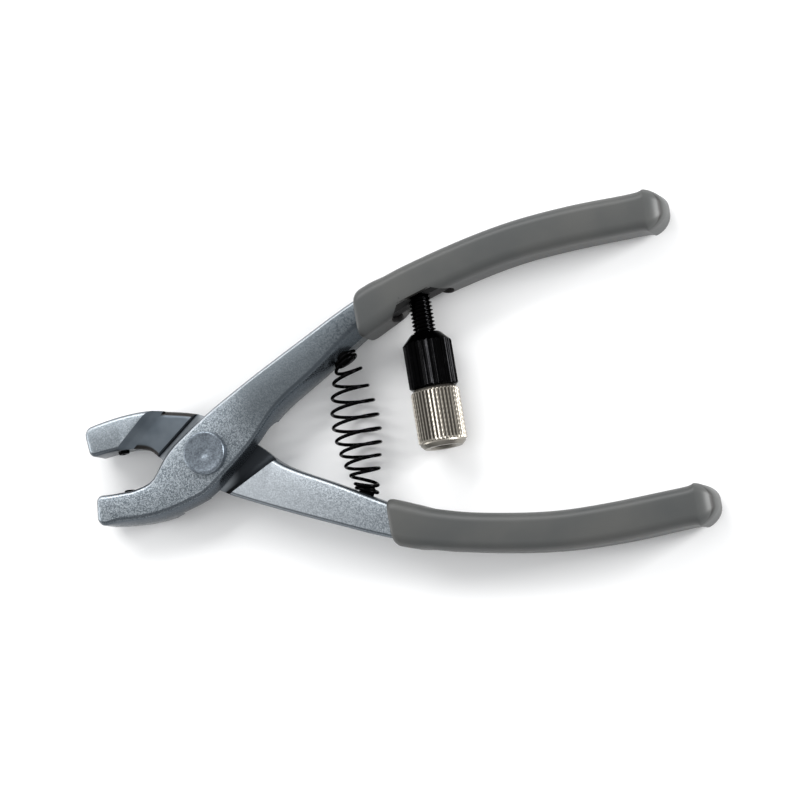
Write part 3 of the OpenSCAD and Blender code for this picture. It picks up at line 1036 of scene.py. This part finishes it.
    def _lap_cutter(self, way: int, wall: float, angle: float, floor: float, foot: float,
                    lean: float = 0.0) -> Workpiece:
        """A block that stands against one wall of the lap and reaches past the pivot.

        Args:
            way: -1 for the jaw side, 1 for the handle side.
            wall: Distance of the wall from the pivot.
            angle: Angle of the wall to the tool's axis, in degrees.
            floor: Height of the floor that it leaves.
            foot: Radius between floor and wall.
            lean: How far the wall slopes for each unit of depth.

        Returns:
            The block.
        """
        depth = 7.0
        back = 4.0
        block = Workpiece("cutter", bpy.ops.mesh.primitive_cube_add, size=1.0)
        block.pick_all()
        block.grow((64.0, wall + back, depth), Vector())
        block.move(Vector((0, way * (wall - back) / 2, floor - depth / 2)))
        block.pick(Pick.VERTS, lambda v: v.co.z > floor - 0.01 and v.co.y * way > wall - 0.01)
        block.move(Vector((0, -way * lean * (self.thick / 2 + floor), 0)))
        block.pick(Pick.VERTS, lambda v: v.co.z < floor - 0.01 and v.co.y * way > wall - 0.01)
        block.move(Vector((0, way * lean * (depth - self.thick / 2 - floor), 0)))
        block.pick(Pick.EDGES, lambda e: all(v.co.z > floor - 0.01 and v.co.y * way > 0 for v in e.verts))
        block.round_off(foot, 12)
        block.pick_all()
        block.turn(math.radians(-angle), "Z", Vector())
        return block

    @staticmethod
    def _ease(arm: Workpiece) -> None:
        """Breaks the sharp edges that the cutters left."""
        arm.clean()
        arm.modify("BEVEL", width=0.16, segments=2, limit_method="ANGLE", angle_limit=math.radians(38),
                   use_clamp_overlap=True, harden_normals=False)

    def _mark_milled(self, arm: Workpiece) -> None:
        """Gives the lap's floors and walls the milled finish."""
        deep = -self.thick / 2 + 0.25

        def inside(face: bmesh.types.BMFace) -> bool:
            """Tells a face of the lap by its place and the way it faces."""
            c = face.calc_center_median()
            if c.z < deep or face.normal.z > -0.02:
                return False
            return face.normal.z < -0.92 or self._on_lap_wall(c) or self._on_recess(c)

        arm.pick(Pick.FACES, inside)
        arm.obj.active_material_index = 1
        bpy.ops.object.material_slot_assign()

    def _on_recess(self, c: Vector) -> bool:
        """Tells a point of the recess's floor or of its rolled outer edge."""
        a = math.radians(self.recess_angle)
        jaw = -(c.x * math.sin(a) + c.y * math.cos(a))
        return 0.0 < jaw < self.recess_wall and c.z > 0.2 - self.thick / 2

    def _on_lap_wall(self, c: Vector) -> bool:
        """Tells a point near the foot of either wall, away from the rolled edges."""
        a, b = math.radians(self.jaw_angle), math.radians(self.handle_angle)
        jaw = -(c.x * math.sin(a) + c.y * math.cos(a))
        handle = c.x * math.sin(b) + c.y * math.cos(b)
        return self.jaw_wall - 1.0 < jaw < self.jaw_wall + 0.2 or self.handle_wall - self.cove < handle < self.handle_wall + 0.1


@dataclass
class PivotRivet:
    """The rivet with its two struck heads."""

    finishes: Finishes
    radius: float = 5.7
    half: float = 6.6
    sides: int = 128

    def build(self) -> bpy.types.Object:
        """Models the rivet.

        Returns:
            The rivet.
        """
        rivet = Workpiece("struck_rivet", bpy.ops.mesh.primitive_cylinder_add, vertices=self.sides,
                          radius=self.radius, depth=2 * self.half)
        rivet.pick(Pick.EDGES, lambda e: len({round(v.co.z, 2) for v in e.verts}) == 1)
        rivet.round_off(0.55, 5)
        for side in (1, -1):
            self._dish(rivet, side)
        return rivet.finish(Half.REAR, Slot.RIVET, "pivot_rivet", (self.finishes.struck,), 40.0)

    def _dish(self, rivet: Workpiece, side: int) -> None:
        """Steps the head's face down in rings to the mark of the closing punch.

        Args:
            rivet: The rivet.
            side: 1 for the front head, -1 for the rear one.
        """
        steps = ((0.35, 0.0), (0.25, -0.06), (1.3, -0.02), (1.65, -0.03), (0.15, -0.03), (0.3, -0.09), (0.35, -0.08),
                 (0.35, -0.05), (0.25, -0.02))
        if side < 0:
            steps = ((0.5, 0.0), (2.2, 0.0))
        for width, depth in steps:
            rivet.pick(Pick.FACES, lambda f, s=side: f.normal.z * s > 0.99 and len(f.verts) >= self.sides)
            rivet.step_in(width, depth)
        rivet.pick(Pick.FACES, lambda f, s=side: f.normal.z * s > 0.9 and len(f.verts) >= self.sides)
        bpy.ops.mesh.poke()


@dataclass(frozen=True)
class Section:
    """A rounded rectangle across a path: its middle, the way it faces, and its size."""

    at: Vector
    angle: float
    tall: float
    wide: float


def sweep(name: str, sections: Sequence[Section], corner: float, steps: int) -> Workpiece:
    """Draws a rounded rectangle out from section to section, turning and sizing it as it goes.

    Args:
        name: The piece's name.
        sections: The sections in order.
        corner: Corner radius of the first one.
        steps: Segments of each corner.

    Returns:
        The closed piece.
    """
    last = sections[0]
    piece = Workpiece(name, bpy.ops.mesh.primitive_plane_add, size=1.0)
    piece.pick_all()
    piece.grow((last.wide, last.tall, 1.0), Vector())
    piece.turn(math.pi / 2, "Y", Vector())
    piece.pick(Pick.VERTS, lambda v: True)
    piece.round_off(corner, steps, "VERTICES")
    piece.pick_all()
    piece.turn(last.angle, "Z", Vector())
    piece.move(last.at)
    for here in sections[1:]:
        piece.draw_out(here.at - last.at)
        if abs(here.angle - last.angle) > 1e-9:
            piece.turn(here.angle - last.angle, "Z", here.at)
        tall = here.tall / last.tall
        piece.grow((tall, tall, here.wide / last.wide), here.at)
        last = here
    piece.clean()
    return piece


@dataclass
class GripSleeve:
    """A moulded sleeve over a handle, its mouth cut square to the tool's axis."""

    finishes: Finishes
    line: MiddleLine = field(default_factory=MiddleLine)
    mouth_x: float = 46.5
    width: float = 13.2
    height: float = 9.9
    corner: float = 3.0
    end_reach: float = 4.7
    gap: float = 0.08
    handle_thick: float = 9.0
    lean_reach: float = 0.13
    heights: tuple[tuple[float, float], ...] = (
        (0.0, 1.16), (0.06, 1.14), (0.14, 1.04), (0.26, 1.0), (0.42, 1.0),
        (0.7, 1.02), (0.86, 1.0), (0.92, 1.01), (0.96, 1.05), (0.985, 1.10), (1.0, 1.10),
    )
    rim: tuple[tuple[float, float, float], ...] = (
        (0.0, 0.815, 0.90), (0.15, 0.865, 0.93), (0.4, 0.91, 0.955), (0.8, 0.95, 0.978),
        (1.3, 0.98, 0.992), (2.0, 0.996, 0.999), (2.6, 1.0, 1.0),
    )
    dome: tuple[tuple[float, float, float], ...] = (
        (0.06, 0.985, 0.99), (0.2, 0.945, 0.965), (0.35, 0.88, 0.925), (0.5, 0.80, 0.87), (0.62, 0.72, 0.80),
        (0.72, 0.64, 0.73), (0.81, 0.55, 0.65), (0.89, 0.45, 0.55), (0.95, 0.34, 0.43), (0.985, 0.22, 0.3),
        (1.0, 0.1, 0.15),
    )
    rings: int = 60
    slot_x: float = 62.8
    slot_length: float = 18.0
    slot_width: float = 13.8
    slot_extra: float = 0.5

    def build(self, name: str, node: str, body: Half, slotted: bool, turned_over: bool) -> bpy.types.Object:
        """Models one grip.

        Args:
            name: The piece's name.
            node: The CAD node that it stands for.
            body: The half that it belongs to.
            slotted: True for the grip that the stop screw comes out of.
            turned_over: True for the lower grip.

        Returns:
            The grip.
        """
        grip = sweep(name, self._outside(), self.corner * self.rim[0][2], 8)
        grip.cut(sweep("cutter", self._inside(), 0.75, 4))
        if slotted:
            grip.cut(self._slot_cutter())
        grip.clean()
        grip.modify("BEVEL", width=0.2, segments=3, limit_method="ANGLE", angle_limit=math.radians(48),
                    use_clamp_overlap=True)
        return grip.finish(body, Slot.SLEEVE, node, (self.finishes.sleeve,), 38.0, turned_over)

    def _height(self, t: float) -> float:
        """The grip's height at a share of its length, eased between the stated ones."""
        for (t0, h0), (t1, h1) in zip(self.heights, self.heights[1:]):
            if t <= t1:
                f = max(0.0, min(1.0, (t - t0) / (t1 - t0)))
                return self.height * (h0 + (h1 - h0) * f * f * (3 - 2 * f))
        return self.height * self.heights[-1][1]

    def _lean(self, t: float) -> float:
        """Angle by which a section leans back towards the tool's axis, at a share of the length."""
        mouth = self.line.at(self.line.seek(self.mouth_x))
        return math.atan(math.tan(mouth.angle) * max(0.0, 1 - t / self.lean_reach))

    def _rim_share(self, reach: float) -> tuple[float, float]:
        """Shares of height and width at a distance from the mouth, where the rim is rounded."""
        for (s0, h0, w0), (s1, h1, w1) in zip(self.rim, self.rim[1:]):
            if reach <= s1:
                f = (reach - s0) / (s1 - s0)
                return h0 + (h1 - h0) * f, w0 + (w1 - w0) * f
        return 1.0, 1.0

    def _outside(self) -> list[Section]:
        """Sections of the outside, from the mouth's rim to the domed end."""
        start = self.line.seek(self.mouth_x)
        span = self.line.spans - start
        length = 84.0
        near = [s / length for s, _, _ in self.rim]
        shares = near + [t for t in (i / self.rings for i in range(1, self.rings + 1)) if t > near[-1] + 0.004]
        sections = []
        for t in shares:
            here = self.line.at(start + span * t)
            lean = self._lean(t)
            tall, wide = self._rim_share(t * length)
            sections.append(Section(here.at, here.angle - lean, self._height(t) * tall / math.cos(lean),
                                    self.width * wide))
        end = self.line.at(self.line.spans)
        for part, tall, wide in self.dome:
            sections.append(Section(end.at + end.along * part * self.end_reach, end.angle,
                                    self._height(1.0) * tall, self.width * wide))
        return sections

    def _inside(self) -> list[Section]:
        """Sections of the bore, from outside the mouth to just past the handle's end."""
        start = self.line.seek(self.mouth_x)
        span = self.line.spans - start
        sections = []
        for i in range(self.rings + 1):
            t = i / self.rings
            here = self.line.at(start + span * t)
            lean = self._lean(t)
            sections.append(Section(here.at, here.angle - lean, (here.width + 2.2 * self.gap) / math.cos(lean),
                                    self.handle_thick + 2 * self.gap))
        first = sections[0]
        sections.insert(0, Section(first.at - Vector((1.5, 0.8, 0.0)), first.angle, first.tall, first.wide))
        end = self.line.at(self.line.spans)
        sections.append(Section(end.at + end.along * self.gap, end.angle, sections[-1].tall, sections[-1].wide))
        return sections

    def _slot_cutter(self) -> Workpiece:
        """A round-ended block that opens the inner side down to the handle."""
        here = self.line.at(self.line.seek(self.slot_x, -1))
        depth = 8.0
        block = Workpiece("cutter", bpy.ops.mesh.primitive_cylinder_add, vertices=96,
                          radius=self.slot_width / 2, depth=depth)
        half = (self.slot_length - self.slot_width) / 2
        for side in (1, -1):
            block.pick(Pick.VERTS, lambda v, s=side: v.co.x * s > 0.01)
            block.move(Vector((side * half, 0, 0)))
        block.pick_all()
        block.turn(math.pi / 2, "X", Vector())
        block.move(Vector((0, self.slot_extra - depth / 2, 0)))
        block.turn(here.angle, "Z", Vector())
        block.move(here.seat(-1))
        return block


@dataclass
class ReturnSpring:
    """The barrel spring between the arms, its end coils lying flat on their seats."""

    finishes: Finishes
    line: MiddleLine = field(default_factory=MiddleLine)
    seat_x: float = 40.0
    wire: float = 0.45
    end_radius: float = 2.9
    belly_radius: float = 6.0
    turns: float = 11.5
    closed: float = 0.9
    opened: float = 1.6
    sag: float = 1.2
    per_turn: int = 40

    def build(self) -> bpy.types.Object:
        """Models the spring.

        Returns:
            The spring.
        """
        count = int(self.turns * self.per_turn)
        points = [self._coil(self.turns * i / count) for i in range(count + 1)]
        Workpiece.object_mode()
        bpy.ops.object.select_all(action="DESELECT")
        curve = bpy.data.curves.new("barrel_spring", "CURVE")
        curve.dimensions = "3D"
        curve.bevel_depth = self.wire
        curve.bevel_resolution = 3
        curve.use_fill_caps = True
        spline = curve.splines.new("POLY")
        spline.points.add(len(points) - 1)
        for knot, point in zip(spline.points, points):
            knot.co = (*point, 1.0)
        obj = bpy.data.objects.new("barrel_spring", curve)
        bpy.context.scene.collection.objects.link(obj)
        bpy.context.view_layer.objects.active = obj
        obj.select_set(True)
        bpy.ops.object.convert(target="MESH")
        obj = bpy.context.object
        bpy.ops.object.mode_set(mode="EDIT")
        bpy.ops.mesh.select_all(action="SELECT")
        bpy.ops.mesh.remove_doubles(threshold=0.002)
        bpy.ops.mesh.normals_make_consistent(inside=False)
        bpy.ops.object.mode_set(mode="OBJECT")
        obj.data.transform(Matrix.Scale(MM, 4) @ Matrix.Translation((0, 0, MIDDLE_Z)))
        obj.data.materials.append(self.finishes.black)
        bpy.ops.object.shade_smooth_by_angle(angle=math.radians(50))
        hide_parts("return_spring")
        top = self._coil(0.0)
        x = self.seat_x * MM
        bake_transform(obj)
        log.info("%s: %d faces", obj.name, len(obj.data.polygons))
        return obj

    def _seat(self) -> tuple[Vector, float]:
        """The middle of the top coil, and the lean of its seat in radians."""
        here = self.line.at(self.line.seek(self.seat_x, -1))
        lift = self.wire + 0.05
        return here.seat(-1) - here.left * lift, here.angle

    def _height(self, n: float) -> float:
        """Height of the coil's middle after n turns."""
        top = self._seat()[0].y
        pitch = 2 * self.wire + 0.1
        half = self.turns / 2
        opening = (top - pitch * half) / (half - (self.closed + self.opened) / 2)

        def sunk(m: float) -> float:
            """Drop below the top after m turns, up to half of them."""
            if m < self.closed:
                extra = 0.0
            elif m < self.opened:
                extra = opening * (m - self.closed) ** 2 / (2 * (self.opened - self.closed))
            else:
                extra = opening * (m - (self.closed + self.opened) / 2)
            return pitch * m + extra

        y = top - sunk(n) if n < half else sunk(self.turns - n) - top
        return y - self.sag * (1 - (y / top) ** 2) ** 2

    def _lean(self, n: float) -> float:
        """How much of its seat's lean a coil still has, n turns from that seat."""
        f = max(0.0, min(1.0, (n - self.closed) / 2))
        return 1 - f * f * (3 - 2 * f)

    def _coil(self, n: float) -> Vector:
        """A point on the wire's middle after n turns from the top."""
        seat, lean = self._seat()
        y = self._height(n)
        swell = max(0.0, math.cos(math.pi / 2 * y / seat.y)) ** 1.4
        radius = self.end_radius + (self.belly_radius - self.end_radius) * swell
        tilt = lean * (self._lean(n) - self._lean(self.turns - n))
        a = 2 * math.pi * n
        across = radius * math.cos(a)
        return Vector((seat.x + across * math.cos(tilt), y + across * math.sin(tilt), radius * math.sin(a)))


@dataclass
class SpringPeg:
    """The peg that centres an end of the spring."""

    finishes: Finishes
    line: MiddleLine = field(default_factory=MiddleLine)
    seat_x: float = 40.0
    radius: float = 2.0
    out: float = 2.0
    inside: float = 4.0

    def build(self, name: str, node: str, body: Half, turned_over: bool) -> bpy.types.Object:
        """Models one peg.

        Args:
            name: The piece's name.
            node: The CAD node that it stands for.
            body: The half that it belongs to.
            turned_over: True for the lower peg.

        Returns:
            The peg.
        """
        here = self.line.at(self.line.seek(self.seat_x, -1))
        peg = Workpiece(name, bpy.ops.mesh.primitive_cylinder_add, vertices=64, radius=self.radius,
                        depth=self.out + self.inside)
        peg.pick_all()
        peg.move(Vector((0, 0, (self.out - self.inside) / 2)))
        peg.pick(Pick.EDGES, lambda e: all(v.co.z > self.out - 0.01 for v in e.verts))
        peg.round_off(0.65, 4)
        peg.pick(Pick.FACES, lambda f: f.normal.z > 0.99)
        peg.step_in(0.9, 0.0)
        peg.step_in(0.35, -0.35)
        lay_on_side(peg, here, -1)
        return peg.finish(body, Slot.BLACK, node, (self.finishes.black,), 40.0, turned_over)


@dataclass
class JawPin:
    """The small hardened pin in a jaw's gripping face."""

    finishes: Finishes
    line: MiddleLine = field(default_factory=MiddleLine)
    seat_x: float = -24.3
    radius: float = 1.5
    out: float = 0.6
    inside: float = 3.6

    def build(self, name: str, node: str, body: Half, turned_over: bool) -> bpy.types.Object:
        """Models one pin.

        Args:
            name: The piece's name.
            node: The CAD node that it stands for.
            body: The half that it belongs to.
            turned_over: True for the upper jaw's pin.

        Returns:
            The pin.
        """
        here = self.line.at(self.line.seek(self.seat_x, 1))
        pin = Workpiece(name, bpy.ops.mesh.primitive_cylinder_add, vertices=48, radius=self.radius,
                        depth=self.out + self.inside)
        pin.pick_all()
        pin.move(Vector((0, 0, (self.out - self.inside) / 2)))
        pin.pick(Pick.EDGES, lambda e: all(v.co.z > self.out - 0.01 for v in e.verts))
        pin.round_off(0.4, 4)
        pin.pick(Pick.FACES, lambda f: f.normal.z > 0.99)
        pin.step_in(0.35, 0.0)
        pin.step_in(0.25, -0.12)
        lay_on_side(pin, here, 1)
        return pin.finish(body, Slot.BLACK, node, (self.finishes.black,), 40.0, turned_over)


def lay_on_side(piece: Workpiece, here: Station, side: int) -> None:
    """Stands an upright piece on an arm's edge, so that it points away from the arm.

    Args:
        piece: The piece, upright at the origin.
        here: The station that it stands at.
        side: 1 on the arm's left edge and -1 on its right one.
    """
    out = here.left * side
    piece.pick_all()
    piece.turn(math.pi / 2, "Y", Vector())
    piece.turn(math.atan2(out.y, out.x), "Z", Vector())
    piece.move(here.seat(side))


@dataclass
class StopScrew:
    """The long screw in the upper handle, with its thread."""

    finishes: Finishes
    x: float = 62.5
    top: float = 33.8
    bottom: float = -7.85
    pitch: float = 1.0
    crest: float = 2.97
    root: float = 2.39

    def build(self) -> bpy.types.Object:
        """Draws one pitch of the thread's profile, winds it and trims both ends.

        Returns:
            The screw.
        """
        screw = Workpiece("threaded_rod", bpy.ops.mesh.primitive_plane_add, size=1.0)
        screw.pick_all()
        bpy.ops.mesh.merge(type="CENTER")
        screw.move(Vector((self.root, 0, 0)))
        rise = self.crest - self.root
        for dx, dz in ((0.0, 0.2), (rise, 0.32), (0.0, 0.11), (-rise, 0.32), (0.0, 0.05)):
            bpy.ops.mesh.extrude_vertices_move(TRANSFORM_OT_translate={"value": (dx, 0, dz)})
        turns = math.ceil(self.top - self.bottom) + 3
        screw.modify("SCREW", axis="Z", angle=2 * math.pi, screw_offset=self.pitch, iterations=turns,
                     steps=40, render_steps=40, use_merge_vertices=True, merge_threshold=0.001)
        screw.clean()
        reach = self.top - self.bottom
        for z, outer in ((1.5, False), (1.5 + reach, True)):
            screw.pick_all()
            bpy.ops.mesh.bisect(plane_co=(0, 0, z), plane_no=(0, 0, 1), use_fill=True,
                                clear_inner=not outer, clear_outer=outer)
        screw.pick_all()
        screw.move(Vector((0, 0, -1.5 + self.bottom)))
        screw.turn(-math.pi / 2, "X", Vector())
        screw.move(Vector((self.x, 0, 0)))
        return screw.finish(Half.FRONT, Slot.BLACK, "stop_screw", (self.finishes.black,), 25.0)


@dataclass(frozen=True)
class Knurl:
    """A straight knurl: its ribs, their depth and the share of the round that each crest takes."""

    ribs: int
    depth: float
    columns: int = 6


def knurled_blank(name: str, radius: float, length: float, knurl: Knurl) -> Workpiece:
    """A ribbed bar along Z from 0.

    Args:
        name: The piece's name.
        radius: Radius over the ribs.
        length: Length of the bar.
        knurl: The knurl.

    Returns:
        The bar.
    """
    per = knurl.columns
    bar = Workpiece(name, bpy.ops.mesh.primitive_cylinder_add, vertices=knurl.ribs * per, radius=radius,
                    depth=length)
    step = 2 * math.pi / (knurl.ribs * per)

    def sunk(level: int) -> Callable[[bmesh.types.BMVert], bool]:
        """Tells the columns of one level of the groove."""
        def test(v: bmesh.types.BMVert) -> bool:
            """Tells a column by its angle."""
            column = round(math.atan2(v.co.x, v.co.y) / step) % per
            return min(column, per - column) == level
        return test

    for level, share in ((3, 1.0), (2, 0.8), (1, 0.3)):
        bar.pick(Pick.VERTS, sunk(level))
        down = (radius - knurl.depth * share) / radius
        bar.grow((down, down, 1.0), Vector())
    bar.pick_all()
    bar.move(Vector((0, 0, length / 2)))
    return bar


def turned_bar(profile: Sequence[tuple[float, float]], sides: int = 120) -> Workpiece:
    """A turned bar: a disc drawn out and sized from step to step.

    Args:
        profile: Radius and height of each step, from the bottom.
        sides: Sides round.

    Returns:
        The bar.
    """
    radius, z = profile[0]
    bar = Workpiece("cutter", bpy.ops.mesh.primitive_circle_add, vertices=sides, radius=radius, fill_type="NGON")
    bar.pick_all()
    bar.move(Vector((0, 0, z)))
    for wide, high in profile[1:]:
        bar.draw_out(Vector((0, 0, high - z)))
        bar.grow((wide / radius, wide / radius, 1.0), Vector((0, 0, high)))
        radius, z = wide, high
    bar.clean()
    return bar


@dataclass
class LockNut:
    """The black knurled nut that locks the stop."""

    finishes: Finishes
    x: float = 62.5
    low: float = 5.2
    radius: float = 6.3
    length: float = 11.6
    cone: float = 2.6
    neck: float = 3.7
    bore: float = 3.03
    knurl: Knurl = field(default_factory=lambda: Knurl(30, 0.36))

    def build(self) -> bpy.types.Object:
        """Models the nut.

        Returns:
            The nut.
        """
        total = self.length + self.cone
        nut = knurled_blank("ribbed_lock_nut", self.radius, total, self.knurl)
        r = self.radius
        nut.cut(turned_bar(((r - 0.55, 0.0), (r + 0.02, 0.55), (r + 0.02, self.length),
                            (self.neck + 0.3, total - 0.15), (self.neck, total))), "INTERSECT")
        nut.cut(turned_bar(((self.bore, -1.0), (self.bore, total - 0.4), (self.bore + 0.5, total + 0.1),
                            (self.bore + 0.5, total + 1.0)), 64))
        nut.pick_all()
        nut.turn(-math.pi / 2, "X", Vector())
        nut.move(Vector((self.x, self.low, 0)))
        return nut.finish(Half.LOCK_NUT, Slot.BLACK, "lock_nut", (self.finishes.black,), 28.0)


@dataclass
class StopHead:
    """The plated knurled head that lands on the other handle."""

    finishes: Finishes
    x: float = 62.5
    high: float = 5.15
    radius: float = 6.25
    length: float = 15.45
    chamfer: float = 1.1
    end_chamfer: float = 1.2
    bore: float = 3.03
    knurl: Knurl = field(default_factory=lambda: Knurl(38, 0.34))

    def build(self) -> bpy.types.Object:
        """Models the head.

        Returns:
            The head.
        """
        head = knurled_blank("knurled_head", self.radius, self.length, self.knurl)
        r, n = self.radius, self.length
        rim = r - self.knurl.depth - 0.05
        head.cut(turned_bar(((r - self.end_chamfer - 0.15, 0.0), (r - self.end_chamfer, 0.12), (rim, 0.95),
                             (rim, 1.35), (r + 0.02, 1.6), (r + 0.02, n - self.chamfer),
                             (r - self.chamfer, n))), "INTERSECT")
        head.cut(turned_bar(((self.bore + 0.55, -0.5), (self.bore + 0.55, -0.01), (self.bore, 0.5),
                             (self.bore, n + 1.0)), 96))
        head.pick_all()
        head.turn(-math.pi / 2, "X", Vector())
        head.move(Vector((self.x, self.high - n, 0)))
        return head.finish(Half.STOP_HEAD, Slot.PLATED, "stop_head", (self.finishes.nickel,), 24.0)


# Studio


@dataclass
class Studio:
    """Floor, light and the photograph's viewpoint."""

    azimuth: float = 18.0
    elevation: float = -5.3
    tilt: float = 9.75
    distance: float = 0.9
    lens: float = 157.68
    pivot_from_aim: tuple[float, float] = (-51.5, -12.81)

    def _turned(self, v: tuple[float, float, float]) -> Vector:
        """Carries a direction from the photograph's upright tool to the part's frame."""
        return Matrix.Rotation(math.radians(-self.tilt), 3, "Z") @ Vector(v)

    def camera(self) -> bpy.types.Object:
        """Puts the camera where the photograph was taken from.

        Returns:
            The camera.
        """
        a, e = math.radians(self.azimuth), math.radians(self.elevation)
        back = Vector((math.sin(a) * math.cos(e), math.sin(e), math.cos(a) * math.cos(e)))
        right = Vector((math.cos(a), 0.0, -math.sin(a)))
        up = back.cross(right)
        px, py = self.pivot_from_aim
        aim = self._turned((-px * MM, -py * MM, 0.0)) + Vector((0, 0, MIDDLE_Z * MM))
        back, right, up = self._turned(back), self._turned(right), self._turned(up)
        data = bpy.data.cameras.new("camera")
        data.lens = self.lens
        data.sensor_width = 36.0
        data.clip_start = 0.01
        data.clip_end = 20.0
        camera = bpy.data.objects.new("camera", data)
        camera.matrix_world = Matrix.Translation(aim + back * self.distance) @ Matrix(
            (right, up, back)).transposed().to_4x4()
        bpy.context.scene.collection.objects.link(camera)
        bpy.context.scene.camera = camera
        return camera

    def floor(self) -> bpy.types.Object:
        """Lays a plain pale floor."""
        bpy.ops.object.select_all(action="DESELECT")
        bpy.ops.mesh.primitive_plane_add(size=6.0, location=(0, 0, -0.0002))
        floor = bpy.context.object
        floor.name = "floor"
        graph = Graph("pale_floor")
        floor.data.materials.append(graph.dress(Base_Color=(0.95, 0.95, 0.95), Roughness=0.8))
        bpy.ops.object.transform_apply(location=True, rotation=True, scale=True)
        return floor

    def lamp(self, name: str, at: tuple[float, float, float], size: tuple[float, float], watts: float) -> None:
        """Hangs a soft lamp that faces the tool.

        Args:
            name: The lamp's name.
            at: Its place in metres.
            size: Its width and height.
            watts: Its power.
        """
        data = bpy.data.lights.new(name, "AREA")
        data.shape = "RECTANGLE"
        data.size, data.size_y = size
        data.energy = watts
        lamp = bpy.data.objects.new(name, data)
        lamp.location = at
        lamp.rotation_euler = (Vector((0.045, 0, 0)) - Vector(at)).to_track_quat("-Z", "Y").to_euler()
        bpy.context.scene.collection.objects.link(lamp)

    def light(self) -> None:
        """Lights the tool softly from above and both sides."""
        self.lamp("key", (-0.20, 0.62, 0.55), (0.8, 0.3), 5.0)
        self.lamp("side", (-0.75, 0.05, 0.25), (0.2, 0.5), 2.2)
        self.lamp("end", (0.85, 0.10, 0.26), (0.25, 0.3), 7.5)
        world = bpy.data.worlds.new("studio")
        world.use_nodes = True
        world.node_tree.nodes["Background"].inputs["Color"].default_value = (0.98, 0.99, 1.0, 1.0)
        world.node_tree.nodes["Background"].inputs["Strength"].default_value = 0.72
        bpy.context.scene.world = world


def main() -> None:
    """Builds the tool piece by piece and sets the studio."""
    logging.basicConfig(level=logging.INFO, format="%(name)s %(message)s")
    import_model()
    bpy.context.scene.view_settings.view_transform = "Standard"
    studio = Studio()
    studio.camera()
    finishes = Finishes.make()
    arm = Arm(finishes)
    arm.build("front_forging", "front_arm", Half.FRONT, False)
    arm.build("rear_forging", "rear_arm", Half.REAR, True)
    PivotRivet(finishes).build()
    grip = GripSleeve(finishes)
    grip.build("upper_sleeve", "upper_grip", Half.FRONT, True, False)
    grip.build("lower_sleeve", "lower_grip", Half.REAR, False, True)
    ReturnSpring(finishes).build()
    peg = SpringPeg(finishes)
    peg.build("upper_seat_peg", "upper_spring_peg", Half.FRONT, False)
    peg.build("lower_seat_peg", "lower_spring_peg", Half.REAR, True)
    StopScrew(finishes).build()
    LockNut(finishes).build()
    StopHead(finishes).build()
    pin = JawPin(finishes)
    pin.build("lower_grip_pin", "lower_jaw_pin", Half.FRONT, False)
    pin.build("upper_grip_pin", "upper_jaw_pin", Half.REAR, True)
    studio.floor()
    studio.light()


if __name__ == "__main__":
    main()
